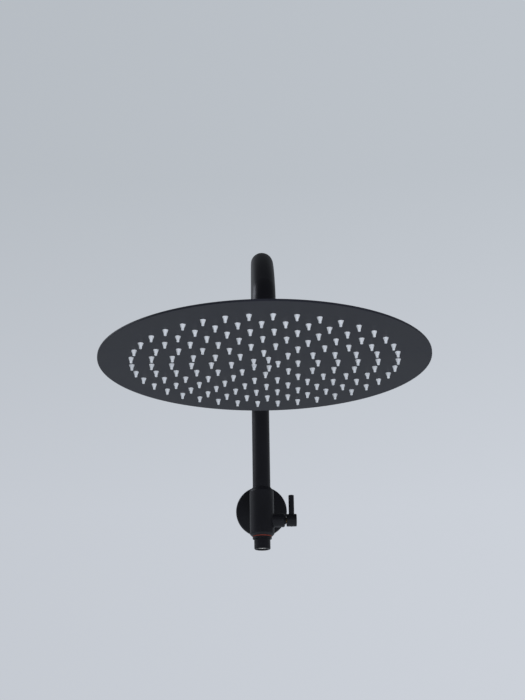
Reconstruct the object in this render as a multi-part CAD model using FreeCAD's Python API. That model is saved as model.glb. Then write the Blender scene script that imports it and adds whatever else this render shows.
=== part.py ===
import FreeCAD, Part
import math
import os
from FreeCAD import Vector

# Rainfall shower column: a wall-fed valve body with a lever diverter, a one-piece riser
# and gooseneck, and a thin round rain head that hangs from the arm on a ball joint.
#
# Row frame, in millimetres: the origin is on the wall plane, on the axis of the wall
# inlet. +Y points into the wall, +X to the right of a person facing it, and +Z up.

# ---------------------------------------------------------------- driving sizes
# Overall
REACH = 490.0                 # column axis to the centre of the head
STANDOFF = 60.0               # wall plane to the column axis
RISER_TOP = 104.5             # height at which the riser starts to bend
HEAD_DIAMETER = 300.0

# Riser and gooseneck tube
TUBE_OUTER_R = 11.0
TUBE_WALL = 1.2
CROWN_BEND_R = 80.0           # bend at the top of the riser, on the tube's centre line
ARM_SLOPE = 0.0               # degrees below level along the straight of the arm
SHOULDER_BEND_R = 325.0       # long easy bend beyond the straight
SHOULDER_SLOPE = 45.0         # degrees below level where the last bend starts
DROP_BEND_R = 35.0            # last bend, down to vertical
DROP_STRAIGHT = 5.0           # straight end of the tube above the ball joint

# Fits
RUNNING_FIT = 0.05            # radial clearance of a part that turns or slides in a bore
PUSH_FIT = 0.05               # radial clearance of a tube or screw pushed into its hole
BALL_GAP = 0.30               # film of grease either side of each ball-joint liner
FACE_GAP = 0.40               # between faces that pass each other

# G 1/2 pipe thread, shown by its crest cylinder
THREAD_R = 10.48
THREAD_WALL = 3.0

# Valve body
BODY_WALL = 3.95              # round the riser's socket
BODY_TOP = 17.0
BODY_BOTTOM = -44.0
BODY_SHOULDER = 5.0           # height of the tapered top
BODY_LIP = 0.65               # flat ring left round the tube at the top of the taper
BODY_FOOT_CHAMFER = 2.5
SOCKET_DEPTH = 15.0           # of the riser tube in the body
SOCKET_RING_OFFSETS = (3.4, 10.6)   # heights of the sealing rings above the socket floor
SOCKET_GRUB_OFFSET = 7.0      # height of the riser's grub screw above the socket floor
CHANNEL_R = 4.0               # riser and hose water ways
GALLERY_R = 3.5               # inlet water way
GALLERY_WALL = 2.0            # outside the inlet water way, in the barrel
GALLERY_TOP = -9.0            # height at which the inlet water way turns down
BRANCH_R = 13.0               # arm of the body that reaches back to the wall
BRANCH_GAP = 7.0              # end of that arm to the wall plane
SPIGOT_DEPTH = 31.0           # of the wall spigot's bore in the branch

# Wall spigot and flange
SPIGOT_R = 8.5
SPIGOT_BORE_R = 4.5
SPIGOT_COLLAR_R = 11.5
SPIGOT_COLLAR = 6.0
WALL_THREAD = 14.0
SPIGOT_KEY_FLATS = 10.0
SPIGOT_KEY_DEPTH = 8.0
SPIGOT_RING_OFFSETS = (5.0, 10.0)   # sealing rings, behind the spigot's front end
SPIGOT_GRUB_OFFSET = 17.0     # locking groove, behind the spigot's front end
FLANGE_R = 32.5
FLANGE_RIM = 3.5              # straight edge of the flange, next to the wall
FLANGE_DEPTH = 9.0
FLANGE_SHEET = 1.2
FLANGE_RING_WALL = 1.2        # rubber ring between flange and branch
FLANGE_RING_LENGTH = 2.5
GASKET_WIDTH = 6.0
GASKET_THICKNESS = 1.2

# Sealing rings
RING_R = 0.6                  # radius of the section of a static ring
GROOVE_WIDTH = 1.7

# Diverter
DIVERTER_Z = -24.3
BOSS_WALL = 1.5               # round the bonnet nut's thread
BOSS_END = 28.2               # from the column axis
BOSS_CHAMFER = 1.2
SLEEVE_R = 6.5
SLEEVE_WALL = 1.75
SLEEVE_INNER_END = -9.0
SLEEVE_OUTER_END = 16.0
SLEEVE_FLOOR = 1.5
SLEEVE_RING_X = 6.0
SLEEVE_RING_R = 0.47
PORT_R = 2.6
SPOOL_CORE_R = 2.0
SPOOL_CHAMBER = 4.0           # half length of the open part round the ports
SPOOL_LAND_ANGLE = 90.0
SPOOL_SHOULDER = 13.0
SPOOL_RING_X = (8.0, 10.5)
SPOOL_RING_R = 0.5
STEM_R = 3.0
BONNET_STEP = 0.5             # bonnet thread beyond the sleeve, so that the sleeve passes in
BONNET_COLLAR_R = 5.0
BONNET_COLLAR = 1.7
KNOB_R = 7.75
KNOB_LENGTH = 12.5
KNOB_CHAMFER = 0.6
KNOB_FLOOR = 2.8              # solid outer end of the knob
LEVER_R = 3.4
LEVER_TOP = 31.5              # above the diverter axis
LEVER_SHANK_R = 2.0
LEVER_CHAMFER = 0.5
LEVER_TRIM = 0.1              # blank of the foot past the knob's back, before it is shaped

# Grub screws
GRUB_R = 2.0
KNOB_GRUB_R = 1.5
GRUB_KEY_SHARE = 0.55         # key pocket across its corners, over the screw's diameter

# Hose outlet with its check valve
OUTLET_SHANK_R = 9.0
OUTLET_SHANK = 8.0
OUTLET_COLLAR_R = 11.8
OUTLET_COLLAR = 2.5
OUTLET_THREAD = 12.5
WASHER_THICKNESS = 1.0
CHECK_R = 7.4
CHECK_WALL = 1.2
CHECK_LENGTH = 12.0
CHECK_CAP = 1.5               # seat and floor of the cage
CHECK_SEAT_R = 3.6
CHECK_RECESS = 2.0            # bottom of the cage above the end of the thread
POPPET_R = 5.0
POPPET_THICKNESS = 1.2
POPPET_STEM_R = 1.25
POPPET_SEAT_GAP = 0.05
POPPET_STEM_PAST_FLOOR = 1.0
SPRING_R = 2.6
SPRING_WIRE_R = 0.3
SPRING_TURNS = 5

# Ball joint
BALL_R = 11.0
LINER = 1.15
NECK_R = 6.0
BALL_BORE_R = 4.0
NECK_CLEARANCE = 4.95         # underside of the hexagon above the nut, for the tilt
SWIVEL_FLATS = 25.0
SWIVEL_FLOOR = 2.2
FILTER_THICKNESS = 1.5
NIPPLE_THREAD = 8.0
NIPPLE_PLUG = 4.5             # length brazed inside the tube
NIPPLE_BORE_R = 6.0
LINER_TOP_ANGLES = (50.0, 80.0)     # upper liner, degrees from the joint's axis
LINER_SEAT_ANGLES = (112.0, 148.0)  # lower liner
SOCKET_MOUTH_ANGLE = 52.0
SOCKET_FOOT_ANGLE = 150.0
NUT_WALL = 3.5                # outside the hub's barrel
NUT_LIP = 2.0                 # thickness of the nut above its spherical seat
NUT_MOUTH_FLARE = 1.2
NUT_SKIRT = 9.0               # below the ball's centre
NUT_SHOULDER_WIDTH = 5.5      # of the taper round the nut's top
NUT_SHOULDER_DROP = 5.0
NUT_FLUTES = 12
NUT_FLUTE_R = 1.6
HUB_WALL = 3.25               # outside the spherical socket
HUB_FLANGE_WIDTH = 3.0
HUB_FLANGE = 1.5
HUB_SPIGOT_STEP = 2.0         # spigot in the pan, inside the barrel's radius
HUB_FLOOR = 2.0
REGULATOR_LENGTH = 4.0
REGULATOR_HOLES = 6
REGULATOR_HOLE_R = 0.7
SCREEN_THICKNESS = 0.4
SCREEN_PITCH = 1.5
SCREEN_HOLE_R = 0.45
SCREEN_RINGS = 3

# Rain head
SHEET = 1.0
RIM_ROUNDING = 0.3
RIM_WIDTH = 18.5              # welded rim where the two sheets lie together
PAN_RISE = 5.0                # room for mat and water above the face plate
PAN_TAPER = 4.0               # width of the sloping wall of the pan
MAT_THICKNESS = 1.2
MAT_MARGIN = 7.0              # mat beyond the outermost ring of nozzles
NOZZLE_RINGS = (5, 8, 14, 20, 26, 32, 38)
NOZZLE_FIRST_RING_R = 12.0
NOZZLE_MARGIN = 30.0          # edge of the head to the outermost ring
NOZZLE_PHASE = -1.9           # degrees from +X to the first nozzle of each ring
NOZZLE_BASE_R = 2.5
NOZZLE_TIP_R = 1.2
NOZZLE_CONE = 3.4
NOZZLE_LENGTH = 5.0
NOZZLE_BORE_R = 0.5
NOZZLE_HOLE_CLEARANCE = 0.1

# ---------------------------------------------------------------- worked-out places
ORIGIN = Vector(0, 0, 0)
RIGHT = Vector(1, 0, 0)
BACK = Vector(0, 1, 0)
FRONT = Vector(0, -1, 0)
UP = Vector(0, 0, 1)
DOWN = Vector(0, 0, -1)

TUBE_INNER_R = TUBE_OUTER_R - TUBE_WALL
SOCKET_FLOOR = BODY_TOP - SOCKET_DEPTH
SOCKET_R = TUBE_OUTER_R + PUSH_FIT
BODY_R = SOCKET_R + BODY_WALL
GALLERY_SETBACK = BODY_R - GALLERY_R - GALLERY_WALL
SIN_ARM = math.sin(math.radians(ARM_SLOPE))
COS_ARM = math.cos(math.radians(ARM_SLOPE))
SIN_SHOULDER = math.sin(math.radians(SHOULDER_SLOPE))
COS_SHOULDER = math.cos(math.radians(SHOULDER_SLOPE))

# The straight of the arm takes up what the three bends leave of the reach.
BENDS_REACH = (
    CROWN_BEND_R * (1 + SIN_ARM)
    + SHOULDER_BEND_R * (SIN_SHOULDER - SIN_ARM)
    + DROP_BEND_R * (1 - SIN_SHOULDER)
)
ARM_STRAIGHT = (REACH - BENDS_REACH) / COS_ARM
TUBE_END = (
    RISER_TOP
    + CROWN_BEND_R * COS_ARM
    - ARM_STRAIGHT * SIN_ARM
    - SHOULDER_BEND_R * (COS_ARM - COS_SHOULDER)
    - DROP_BEND_R * COS_SHOULDER
    - DROP_STRAIGHT
)

# Ball joint, as heights above the ball's centre
LINER_INNER_R = BALL_R + BALL_GAP
LINER_OUTER_R = LINER_INNER_R + LINER
CUP_R = LINER_OUTER_R + BALL_GAP
MOUTH_R = CUP_R * math.sin(math.radians(SOCKET_MOUTH_ANGLE))
MOUTH_Z = CUP_R * math.cos(math.radians(SOCKET_MOUTH_ANGLE))
HUB_BARREL_R = CUP_R + HUB_WALL
HUB_FLANGE_R = HUB_BARREL_R + HUB_FLANGE_WIDTH
HUB_SPIGOT_R = HUB_BARREL_R - HUB_SPIGOT_STEP
NUT_R = HUB_BARREL_R + NUT_WALL
NUT_TOP = MOUTH_Z + NUT_LIP
NECK_TOP = NUT_TOP + NECK_CLEARANCE
SWIVEL_BASE = NECK_TOP + SWIVEL_FLOOR
BALL_Z = TUBE_END - NIPPLE_THREAD - FILTER_THICKNESS - SWIVEL_BASE
HEAD_Y = -STANDOFF - REACH
PAN_UNDERSIDE = BALL_Z - CUP_R * math.cos(math.radians(180 - SOCKET_FOOT_ANGLE)) - HUB_FLOOR
FACE_TOP = PAN_UNDERSIDE - PAN_RISE
FACE_UNDERSIDE = FACE_TOP - SHEET
HEAD_R = HEAD_DIAMETER / 2
NOZZLE_HOLE_R = NOZZLE_BASE_R + NOZZLE_HOLE_CLEARANCE
OUTER_RING_R = HEAD_R - NOZZLE_MARGIN
NOZZLE_RING_PITCH = (OUTER_RING_R - NOZZLE_FIRST_RING_R) / (len(NOZZLE_RINGS) - 1)
MAT_R = OUTER_RING_R + MAT_MARGIN
BALL_CENTRE = Vector(0, HEAD_Y, BALL_Z)

GROOVE_R = 2 * RING_R
SPIGOT_FRONT = -BRANCH_GAP - SPIGOT_DEPTH + FACE_GAP
FLANGE_HOLE_R = BRANCH_R + FLANGE_RING_WALL
SLEEVE_BORE_R = SLEEVE_R - SLEEVE_WALL
BONNET_THREAD_R = SLEEVE_R + BONNET_STEP
BOSS_R = BONNET_THREAD_R + BOSS_WALL
SPOOL_R = SLEEVE_BORE_R - RUNNING_FIT
KNOB_START = BOSS_END + BONNET_COLLAR + FACE_GAP
KNOB_END = KNOB_START + KNOB_LENGTH
LEVER_X = KNOB_START + KNOB_LENGTH / 2
COLLAR_TOP = BODY_BOTTOM - WASHER_THICKNESS
OUTLET_THREAD_TOP = COLLAR_TOP - OUTLET_COLLAR
OUTLET_END = OUTLET_THREAD_TOP - OUTLET_THREAD
CHECK_FLOOR = OUTLET_END + CHECK_RECESS
CHECK_TOP = CHECK_FLOOR + CHECK_LENGTH
POPPET_TOP = CHECK_TOP - CHECK_CAP - POPPET_SEAT_GAP
POPPET_UNDERSIDE = POPPET_TOP - POPPET_THICKNESS


# ---------------------------------------------------------------- shape helpers
def on_column(x, z):
    """A place in the vertical plane of the column axis and the diverter."""
    return Vector(x, -STANDOFF, z)


def rod(radius, start, end):
    """Round bar between two places."""
    return Part.makeCylinder(radius, (end - start).Length, start, end - start)


def ring(outer, inner, start, end):
    """Round bar with a bore along it."""
    return rod(outer, start, end).cut(rod(inner, start, end))


def turned(profile, place, direction):
    """Lathe work: a closed outline of (radius, height) pairs, turned about a direction."""
    corners = [Vector(radius, 0, height) for radius, height in profile]
    face = Part.Face(Part.makePolygon(corners + corners[:1]))
    solid = Part.Solid(face.revolve(ORIGIN, UP, 360).Shells[0])
    if solid.Volume < 0:
        solid.reverse()
    solid.Placement = FreeCAD.Placement(place, FreeCAD.Rotation(UP, direction))
    return solid


def torus(centre_r, section_r, place, direction):
    """Round sealing ring."""
    return Part.makeTorus(centre_r, section_r, place, direction)


def hexagon(flats, length, place, direction):
    """Hexagonal bar, sized across its flats."""
    corner_r = flats / math.sqrt(3)
    corners = [
        Vector(corner_r * math.cos(math.radians(60 * k)), corner_r * math.sin(math.radians(60 * k)), 0)
        for k in range(6)
    ]
    bar = Part.Face(Part.makePolygon(corners + corners[:1])).extrude(Vector(0, 0, length))
    bar.Placement = FreeCAD.Placement(place, FreeCAD.Rotation(UP, direction))
    return bar


def spherical_shell(inner, outer, angles, centre):
    """Band of a hollow sphere between two angles from the vertical."""
    def at(radius, angle):
        return Vector(radius * math.sin(math.radians(angle)), 0, radius * math.cos(math.radians(angle)))

    top, bottom = angles
    middle = (top + bottom) / 2
    edges = [
        Part.Arc(at(outer, top), at(outer, middle), at(outer, bottom)).toShape(),
        Part.makeLine(at(outer, bottom), at(inner, bottom)),
        Part.Arc(at(inner, bottom), at(inner, middle), at(inner, top)).toShape(),
        Part.makeLine(at(inner, top), at(outer, top)),
    ]
    solid = Part.Solid(Part.Face(Part.Wire(edges)).revolve(ORIGIN, UP, 360).Shells[0])
    if solid.Volume < 0:
        solid.reverse()
    solid.translate(centre)
    return solid


def grub_screw(radius, start, end):
    """Headless screw with a hexagonal key pocket in its outer end."""
    length = (end - start).Length
    outward = (end - start).normalize()
    flats = 2 * radius * GRUB_KEY_SHARE
    pocket = hexagon(flats, length / 2, end - outward * (length / 2), outward)
    return rod(radius - PUSH_FIT, start, end).cut(pocket)


# ---------------------------------------------------------------- riser and gooseneck
def arm_path():
    """Centre line of the tube: riser, crown bend, straight, shoulder bend and drop."""
    edges = []
    here = on_column(0, SOCKET_FLOOR)
    heading = 90.0

    def toward(angle):
        return Vector(0, -math.cos(math.radians(angle)), math.sin(math.radians(angle)))

    def straight(length):
        nonlocal here
        there = here + toward(heading) * length
        edges.append(Part.makeLine(here, there))
        here = there

    def bend(radius, end_heading):
        nonlocal here, heading
        centre = here - toward(heading + 90) * radius
        middle = centre + toward((heading + end_heading) / 2 + 90) * radius
        there = centre + toward(end_heading + 90) * radius
        edges.append(Part.Arc(here, middle, there).toShape())
        here = there
        heading = end_heading

    straight(RISER_TOP - SOCKET_FLOOR)
    bend(CROWN_BEND_R, -ARM_SLOPE)
    straight(ARM_STRAIGHT)
    bend(SHOULDER_BEND_R, -SHOULDER_SLOPE)
    bend(DROP_BEND_R, -90.0)
    straight(DROP_STRAIGHT)
    return Part.Wire(edges)


def gooseneck_tube():
    path = arm_path()
    start = on_column(0, SOCKET_FLOOR)

    def swept(radius):
        section = Part.Wire(Part.makeCircle(radius, start, UP))
        return path.makePipeShell([section], True, False)

    return swept(TUBE_OUTER_R).cut(swept(TUBE_INNER_R))


def arm_nipple():
    """Threaded end of the arm, with a plug brazed inside the tube."""
    end = Vector(0, HEAD_Y, TUBE_END)
    outline = [
        (NIPPLE_BORE_R, -NIPPLE_THREAD),
        (THREAD_R, -NIPPLE_THREAD),
        (THREAD_R, 0),
        (TUBE_INNER_R, 0),
        (TUBE_INNER_R, NIPPLE_PLUG),
        (NIPPLE_BORE_R, NIPPLE_PLUG),
    ]
    return turned(outline, end, UP)


# ---------------------------------------------------------------- valve body and wall fitting
def socket_ring_places():
    return [on_column(0, SOCKET_FLOOR + offset) for offset in SOCKET_RING_OFFSETS]


def riser_grub_line():
    """Start and end of the riser's grub screw, on the back left of the body."""
    outward = Vector(-math.sin(math.radians(60)), math.cos(math.radians(60)), 0)
    middle = on_column(0, SOCKET_FLOOR + SOCKET_GRUB_OFFSET)
    return middle + outward * TUBE_OUTER_R, middle + outward * BODY_R


def spigot_grub_line():
    """Start and end of the screw under the branch, which holds the wall spigot."""
    y = SPIGOT_FRONT + SPIGOT_GRUB_OFFSET
    return Vector(0, y, -SPIGOT_R + RING_R), Vector(0, y, -BRANCH_R)


def body_casting():
    barrel = turned(
        [
            (0, BODY_BOTTOM),
            (BODY_R - BODY_FOOT_CHAMFER, BODY_BOTTOM),
            (BODY_R, BODY_BOTTOM + BODY_FOOT_CHAMFER),
            (BODY_R, BODY_TOP - BODY_SHOULDER),
            (SOCKET_R + BODY_LIP, BODY_TOP),
            (0, BODY_TOP),
        ],
        on_column(0, 0),
        UP,
    )
    boss = turned(
        [(0, 0), (BOSS_R, 0), (BOSS_R, BOSS_END - BOSS_CHAMFER), (BOSS_R - BOSS_CHAMFER, BOSS_END), (0, BOSS_END)],
        on_column(0, DIVERTER_Z),
        RIGHT,
    )
    branch = rod(BRANCH_R, on_column(0, 0), Vector(0, -BRANCH_GAP, 0))
    return barrel.fuse([boss, branch]).removeSplitter()


def body_water_ways():
    """Every drilling of the casting."""
    gallery_y = -STANDOFF + GALLERY_SETBACK
    bore_end = Vector(0, -BRANCH_GAP - SPIGOT_DEPTH, 0)
    gallery_top = Vector(0, gallery_y, GALLERY_TOP)
    gallery_foot = Vector(0, gallery_y, DIVERTER_Z - GALLERY_R)
    sleeve_start = on_column(SLEEVE_INNER_END, DIVERTER_Z)
    sleeve_end = on_column(SLEEVE_OUTER_END, DIVERTER_Z)
    cuts = [
        rod(SOCKET_R, on_column(0, SOCKET_FLOOR), on_column(0, BODY_TOP)),
        rod(CHANNEL_R, on_column(0, DIVERTER_Z), on_column(0, SOCKET_FLOOR)),
        rod(CHANNEL_R, on_column(0, DIVERTER_Z), on_column(0, BODY_BOTTOM)),
        rod(OUTLET_SHANK_R, on_column(0, BODY_BOTTOM), on_column(0, BODY_BOTTOM + OUTLET_SHANK)),
        rod(SPIGOT_R + PUSH_FIT, Vector(0, -BRANCH_GAP, 0), bore_end),
        rod(GALLERY_R, bore_end + BACK * GALLERY_R, gallery_top),
        Part.makeSphere(GALLERY_R, gallery_top),
        rod(GALLERY_R, gallery_top, gallery_foot),
        rod(PORT_R, Vector(0, gallery_y, DIVERTER_Z), on_column(0, DIVERTER_Z)),
        rod(SLEEVE_R + PUSH_FIT, sleeve_start, sleeve_end),
        rod(BONNET_THREAD_R, sleeve_end, on_column(BOSS_END, DIVERTER_Z)),
        rod(GRUB_R, *riser_grub_line()),
        rod(GRUB_R, *spigot_grub_line()),
    ]
    for place in socket_ring_places():
        half = UP * (GROOVE_WIDTH / 2)
        cuts.append(rod(TUBE_OUTER_R + GROOVE_R, place - half, place + half))
    return cuts


def valve_body():
    return body_casting().cut(body_water_ways())


def riser_orings():
    rings = [torus(TUBE_OUTER_R + RING_R, RING_R, place, UP) for place in socket_ring_places()]
    return Part.makeCompound(rings)


def riser_grub_screw():
    return grub_screw(GRUB_R, *riser_grub_line())


def spigot_ring_places():
    return [Vector(0, SPIGOT_FRONT + offset, 0) for offset in SPIGOT_RING_OFFSETS]


def wall_spigot():
    """Threaded into the wall elbow; the branch of the body slides over its front end."""
    outline = [
        (SPIGOT_BORE_R, SPIGOT_FRONT),
        (SPIGOT_R, SPIGOT_FRONT),
        (SPIGOT_R, -SPIGOT_COLLAR),
        (SPIGOT_COLLAR_R, -SPIGOT_COLLAR),
        (SPIGOT_COLLAR_R, 0),
        (THREAD_R, 0),
        (THREAD_R, WALL_THREAD),
        (SPIGOT_BORE_R, WALL_THREAD),
    ]
    grooves = []
    for place in spigot_ring_places():
        half = BACK * (GROOVE_WIDTH / 2)
        grooves.append(ring(SPIGOT_R, SPIGOT_R - GROOVE_R, place - half, place + half))
    lock = Vector(0, SPIGOT_FRONT + SPIGOT_GRUB_OFFSET, 0)
    grooves.append(ring(SPIGOT_R, SPIGOT_R - RING_R, lock - BACK * GRUB_R, lock + BACK * GRUB_R))
    key = hexagon(SPIGOT_KEY_FLATS, SPIGOT_KEY_DEPTH, Vector(0, SPIGOT_FRONT, 0), BACK)
    return turned(outline, ORIGIN, BACK).cut(grooves + [key])


def spigot_orings():
    rings = [torus(SPIGOT_R - RING_R, RING_R, place, BACK) for place in spigot_ring_places()]
    return Part.makeCompound(rings)


def spigot_grub_screw():
    return grub_screw(GRUB_R, *spigot_grub_line())


def wall_flange():
    """Pressed cover that hides the hole in the wall, open at the back."""
    inner_rim = FLANGE_R - FLANGE_SHEET
    outline = [
        (inner_rim, 0),
        (FLANGE_R, 0),
        (FLANGE_R, FLANGE_RIM),
        (FLANGE_R - FLANGE_SHEET, FLANGE_RIM + FLANGE_SHEET),
        (FLANGE_HOLE_R + FLANGE_SHEET, FLANGE_DEPTH),
        (FLANGE_HOLE_R, FLANGE_DEPTH),
        (FLANGE_HOLE_R, FLANGE_DEPTH - FLANGE_RING_LENGTH),
        (FLANGE_HOLE_R + FLANGE_SHEET, FLANGE_DEPTH - FLANGE_RING_LENGTH),
        (inner_rim, FLANGE_RIM),
    ]
    return turned(outline, ORIGIN, FRONT)


def flange_ring():
    """Rubber ring that grips the branch and closes the flange's hole."""
    start = FRONT * (FLANGE_DEPTH - FLANGE_RING_LENGTH)
    return ring(FLANGE_HOLE_R, BRANCH_R, start, FRONT * FLANGE_DEPTH)


def wall_gasket():
    outer = FLANGE_R - FLANGE_SHEET
    return ring(outer, outer - GASKET_WIDTH, FRONT * GASKET_THICKNESS, ORIGIN)


# ---------------------------------------------------------------- diverter
def sleeve_ring_places():
    return [on_column(x, DIVERTER_Z) for x in (-SLEEVE_RING_X, SLEEVE_RING_X)]


def diverter_sleeve():
    """Fixed sleeve of the cartridge, with ports to the inlet, the riser and the hose."""
    axis = on_column(0, DIVERTER_Z)
    sleeve = rod(SLEEVE_R, axis + RIGHT * SLEEVE_INNER_END, axis + RIGHT * SLEEVE_OUTER_END)
    floor = SLEEVE_INNER_END + SLEEVE_FLOOR
    cuts = [rod(SLEEVE_BORE_R, axis + RIGHT * floor, axis + RIGHT * SLEEVE_OUTER_END)]
    for direction in (BACK, UP, DOWN):
        cuts.append(rod(PORT_R, axis, axis + direction * SLEEVE_R))
    for place in sleeve_ring_places():
        half = RIGHT * (GROOVE_WIDTH / 2)
        cuts.append(ring(SLEEVE_R, SLEEVE_R - 2 * SLEEVE_RING_R + PUSH_FIT, place - half, place + half))
    return sleeve.cut(cuts)


def sleeve_orings():
    centre_r = SLEEVE_R + PUSH_FIT - SLEEVE_RING_R
    return Part.makeCompound([torus(centre_r, SLEEVE_RING_R, place, RIGHT) for place in sleeve_ring_places()])


def diverter_spool():
    """Turning part of the cartridge: one land that covers one port, and the stem."""
    axis = on_column(0, DIVERTER_Z)
    start = SLEEVE_INNER_END + SLEEVE_FLOOR + 2 * RUNNING_FIT
    stem_end = KNOB_END - KNOB_FLOOR - FACE_GAP
    outline = [
        (0, start),
        (SPOOL_R, start),
        (SPOOL_R, -SPOOL_CHAMBER),
        (SPOOL_CORE_R, -SPOOL_CHAMBER),
        (SPOOL_CORE_R, SPOOL_CHAMBER),
        (SPOOL_R, SPOOL_CHAMBER),
        (SPOOL_R, SPOOL_SHOULDER),
        (STEM_R, SPOOL_SHOULDER),
        (STEM_R, stem_end),
        (0, stem_end),
    ]
    land_start = axis - RIGHT * SPOOL_CHAMBER
    land = Part.makeCylinder(SPOOL_R, 2 * SPOOL_CHAMBER, land_start, RIGHT, SPOOL_LAND_ANGLE)
    middle = land.CenterOfMass - axis
    to_hose_port = math.degrees(math.atan2(DOWN.z, 0) - math.atan2(middle.z, middle.y))
    land.rotate(axis, RIGHT, to_hose_port)
    spool = turned(outline, axis, RIGHT).fuse(land)
    for x in SPOOL_RING_X:
        groove_r = SPOOL_R - 2 * SPOOL_RING_R
        half = RIGHT * (GROOVE_WIDTH / 2)
        spool = spool.cut(ring(SPOOL_R, groove_r, axis + RIGHT * x - half, axis + RIGHT * x + half))
    return spool


def spool_orings():
    axis = on_column(0, DIVERTER_Z)
    rings = [torus(SPOOL_R - SPOOL_RING_R, SPOOL_RING_R, axis + RIGHT * x, RIGHT) for x in SPOOL_RING_X]
    return Part.makeCompound(rings)


def bonnet_nut():
    """Screws into the boss, holds the sleeve and guides the stem."""
    bore = STEM_R + RUNNING_FIT
    outline = [
        (bore, SLEEVE_OUTER_END),
        (BONNET_THREAD_R, SLEEVE_OUTER_END),
        (BONNET_THREAD_R, BOSS_END),
        (BONNET_COLLAR_R, BOSS_END),
        (BONNET_COLLAR_R, BOSS_END + BONNET_COLLAR),
        (bore, BOSS_END + BONNET_COLLAR),
    ]
    return turned(outline, on_column(0, DIVERTER_Z), RIGHT)


def knob_grub_line():
    axis = on_column(LEVER_X, DIVERTER_Z)
    return axis + DOWN * STEM_R, axis + DOWN * KNOB_R


def diverter_knob():
    bore = STEM_R + PUSH_FIT
    outline = [
        (bore, KNOB_START),
        (KNOB_R - KNOB_CHAMFER, KNOB_START),
        (KNOB_R, KNOB_START + KNOB_CHAMFER),
        (KNOB_R, KNOB_END - KNOB_CHAMFER),
        (KNOB_R - KNOB_CHAMFER, KNOB_END),
        (0, KNOB_END),
        (0, KNOB_END - KNOB_FLOOR),
        (bore, KNOB_END - KNOB_FLOOR),
    ]
    axis = on_column(LEVER_X, DIVERTER_Z)
    pin_hole = rod(LEVER_SHANK_R, axis + UP * STEM_R, axis + UP * KNOB_R)
    screw_hole = rod(KNOB_GRUB_R, *knob_grub_line())
    return turned(outline, on_column(0, DIVERTER_Z), RIGHT).cut([pin_hole, screw_hole])


def knob_grub_screw():
    return grub_screw(KNOB_GRUB_R, *knob_grub_line())


def lever_pin():
    """Pin lever, screwed into the knob; its foot is shaped to sit on the round knob."""
    foot = math.sqrt(KNOB_R**2 - LEVER_R**2) - LEVER_TRIM
    outline = [
        (0, STEM_R + PUSH_FIT),
        (LEVER_SHANK_R - PUSH_FIT, STEM_R + PUSH_FIT),
        (LEVER_SHANK_R - PUSH_FIT, foot),
        (LEVER_R, foot),
        (LEVER_R, LEVER_TOP - LEVER_CHAMFER),
        (LEVER_R - LEVER_CHAMFER, LEVER_TOP),
        (0, LEVER_TOP),
    ]
    axis = on_column(LEVER_X, DIVERTER_Z)
    half = RIGHT * (KNOB_LENGTH / 2)
    around_shank = ring(KNOB_R, STEM_R, axis - half, axis + half).cut(
        rod(LEVER_SHANK_R, axis, axis + UP * KNOB_R)
    )
    return turned(outline, axis, UP).cut(around_shank)


# ---------------------------------------------------------------- hose outlet
def hose_outlet():
    """Threaded nipple for a shower hose, screwed into the bottom of the body."""
    seat = CHECK_TOP + PUSH_FIT
    outline = [
        (CHANNEL_R, BODY_BOTTOM + OUTLET_SHANK),
        (OUTLET_SHANK_R, BODY_BOTTOM + OUTLET_SHANK),
        (OUTLET_SHANK_R, COLLAR_TOP),
        (OUTLET_COLLAR_R, COLLAR_TOP),
        (OUTLET_COLLAR_R, OUTLET_THREAD_TOP),
        (THREAD_R, OUTLET_THREAD_TOP),
        (THREAD_R, OUTLET_END),
        (CHECK_R + PUSH_FIT, OUTLET_END),
        (CHECK_R + PUSH_FIT, seat),
        (CHANNEL_R, seat),
    ]
    return turned(outline, on_column(0, 0), UP)


def outlet_washer():
    return ring(OUTLET_COLLAR_R, OUTLET_SHANK_R, on_column(0, COLLAR_TOP), on_column(0, BODY_BOTTOM))


def check_valve_cage():
    cage = rod(CHECK_R, on_column(0, CHECK_FLOOR), on_column(0, CHECK_TOP))
    inside_floor = CHECK_FLOOR + CHECK_CAP
    cuts = [
        rod(CHECK_R - CHECK_WALL, on_column(0, inside_floor), on_column(0, CHECK_TOP - CHECK_CAP)),
        rod(CHECK_SEAT_R, on_column(0, CHECK_TOP - CHECK_CAP), on_column(0, CHECK_TOP)),
        rod(POPPET_STEM_R + RUNNING_FIT, on_column(0, CHECK_FLOOR), on_column(0, inside_floor)),
    ]
    flow_r = (CHECK_R - CHECK_WALL - POPPET_STEM_R) / 2 - CHECK_WALL / 2
    flow_centre = (CHECK_R - CHECK_WALL + POPPET_STEM_R) / 2 + CHECK_WALL / 4
    for quarter in range(4):
        turn = math.radians(90 * quarter)
        offset = Vector(flow_centre * math.cos(turn), flow_centre * math.sin(turn), 0)
        cuts.append(rod(flow_r, on_column(0, CHECK_FLOOR) + offset, on_column(0, inside_floor) + offset))
    return cage.cut(cuts)


def check_valve_poppet():
    outline = [
        (0, CHECK_FLOOR + CHECK_CAP - POPPET_STEM_PAST_FLOOR),
        (POPPET_STEM_R, CHECK_FLOOR + CHECK_CAP - POPPET_STEM_PAST_FLOOR),
        (POPPET_STEM_R, POPPET_UNDERSIDE),
        (POPPET_R, POPPET_UNDERSIDE),
        (POPPET_R, POPPET_TOP),
        (0, POPPET_TOP),
    ]
    return turned(outline, on_column(0, 0), UP)


def check_valve_spring():
    foot = CHECK_FLOOR + CHECK_CAP + SPRING_WIRE_R
    height = POPPET_UNDERSIDE - SPRING_WIRE_R - foot
    helix = Part.makeHelix(height / SPRING_TURNS, height, SPRING_R)
    section = Part.Wire(Part.makeCircle(SPRING_WIRE_R, Vector(SPRING_R, 0, 0), BACK))
    spring = Part.Wire(helix.Edges).makePipeShell([section], True, True)
    spring.translate(on_column(0, foot))
    return spring


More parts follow.
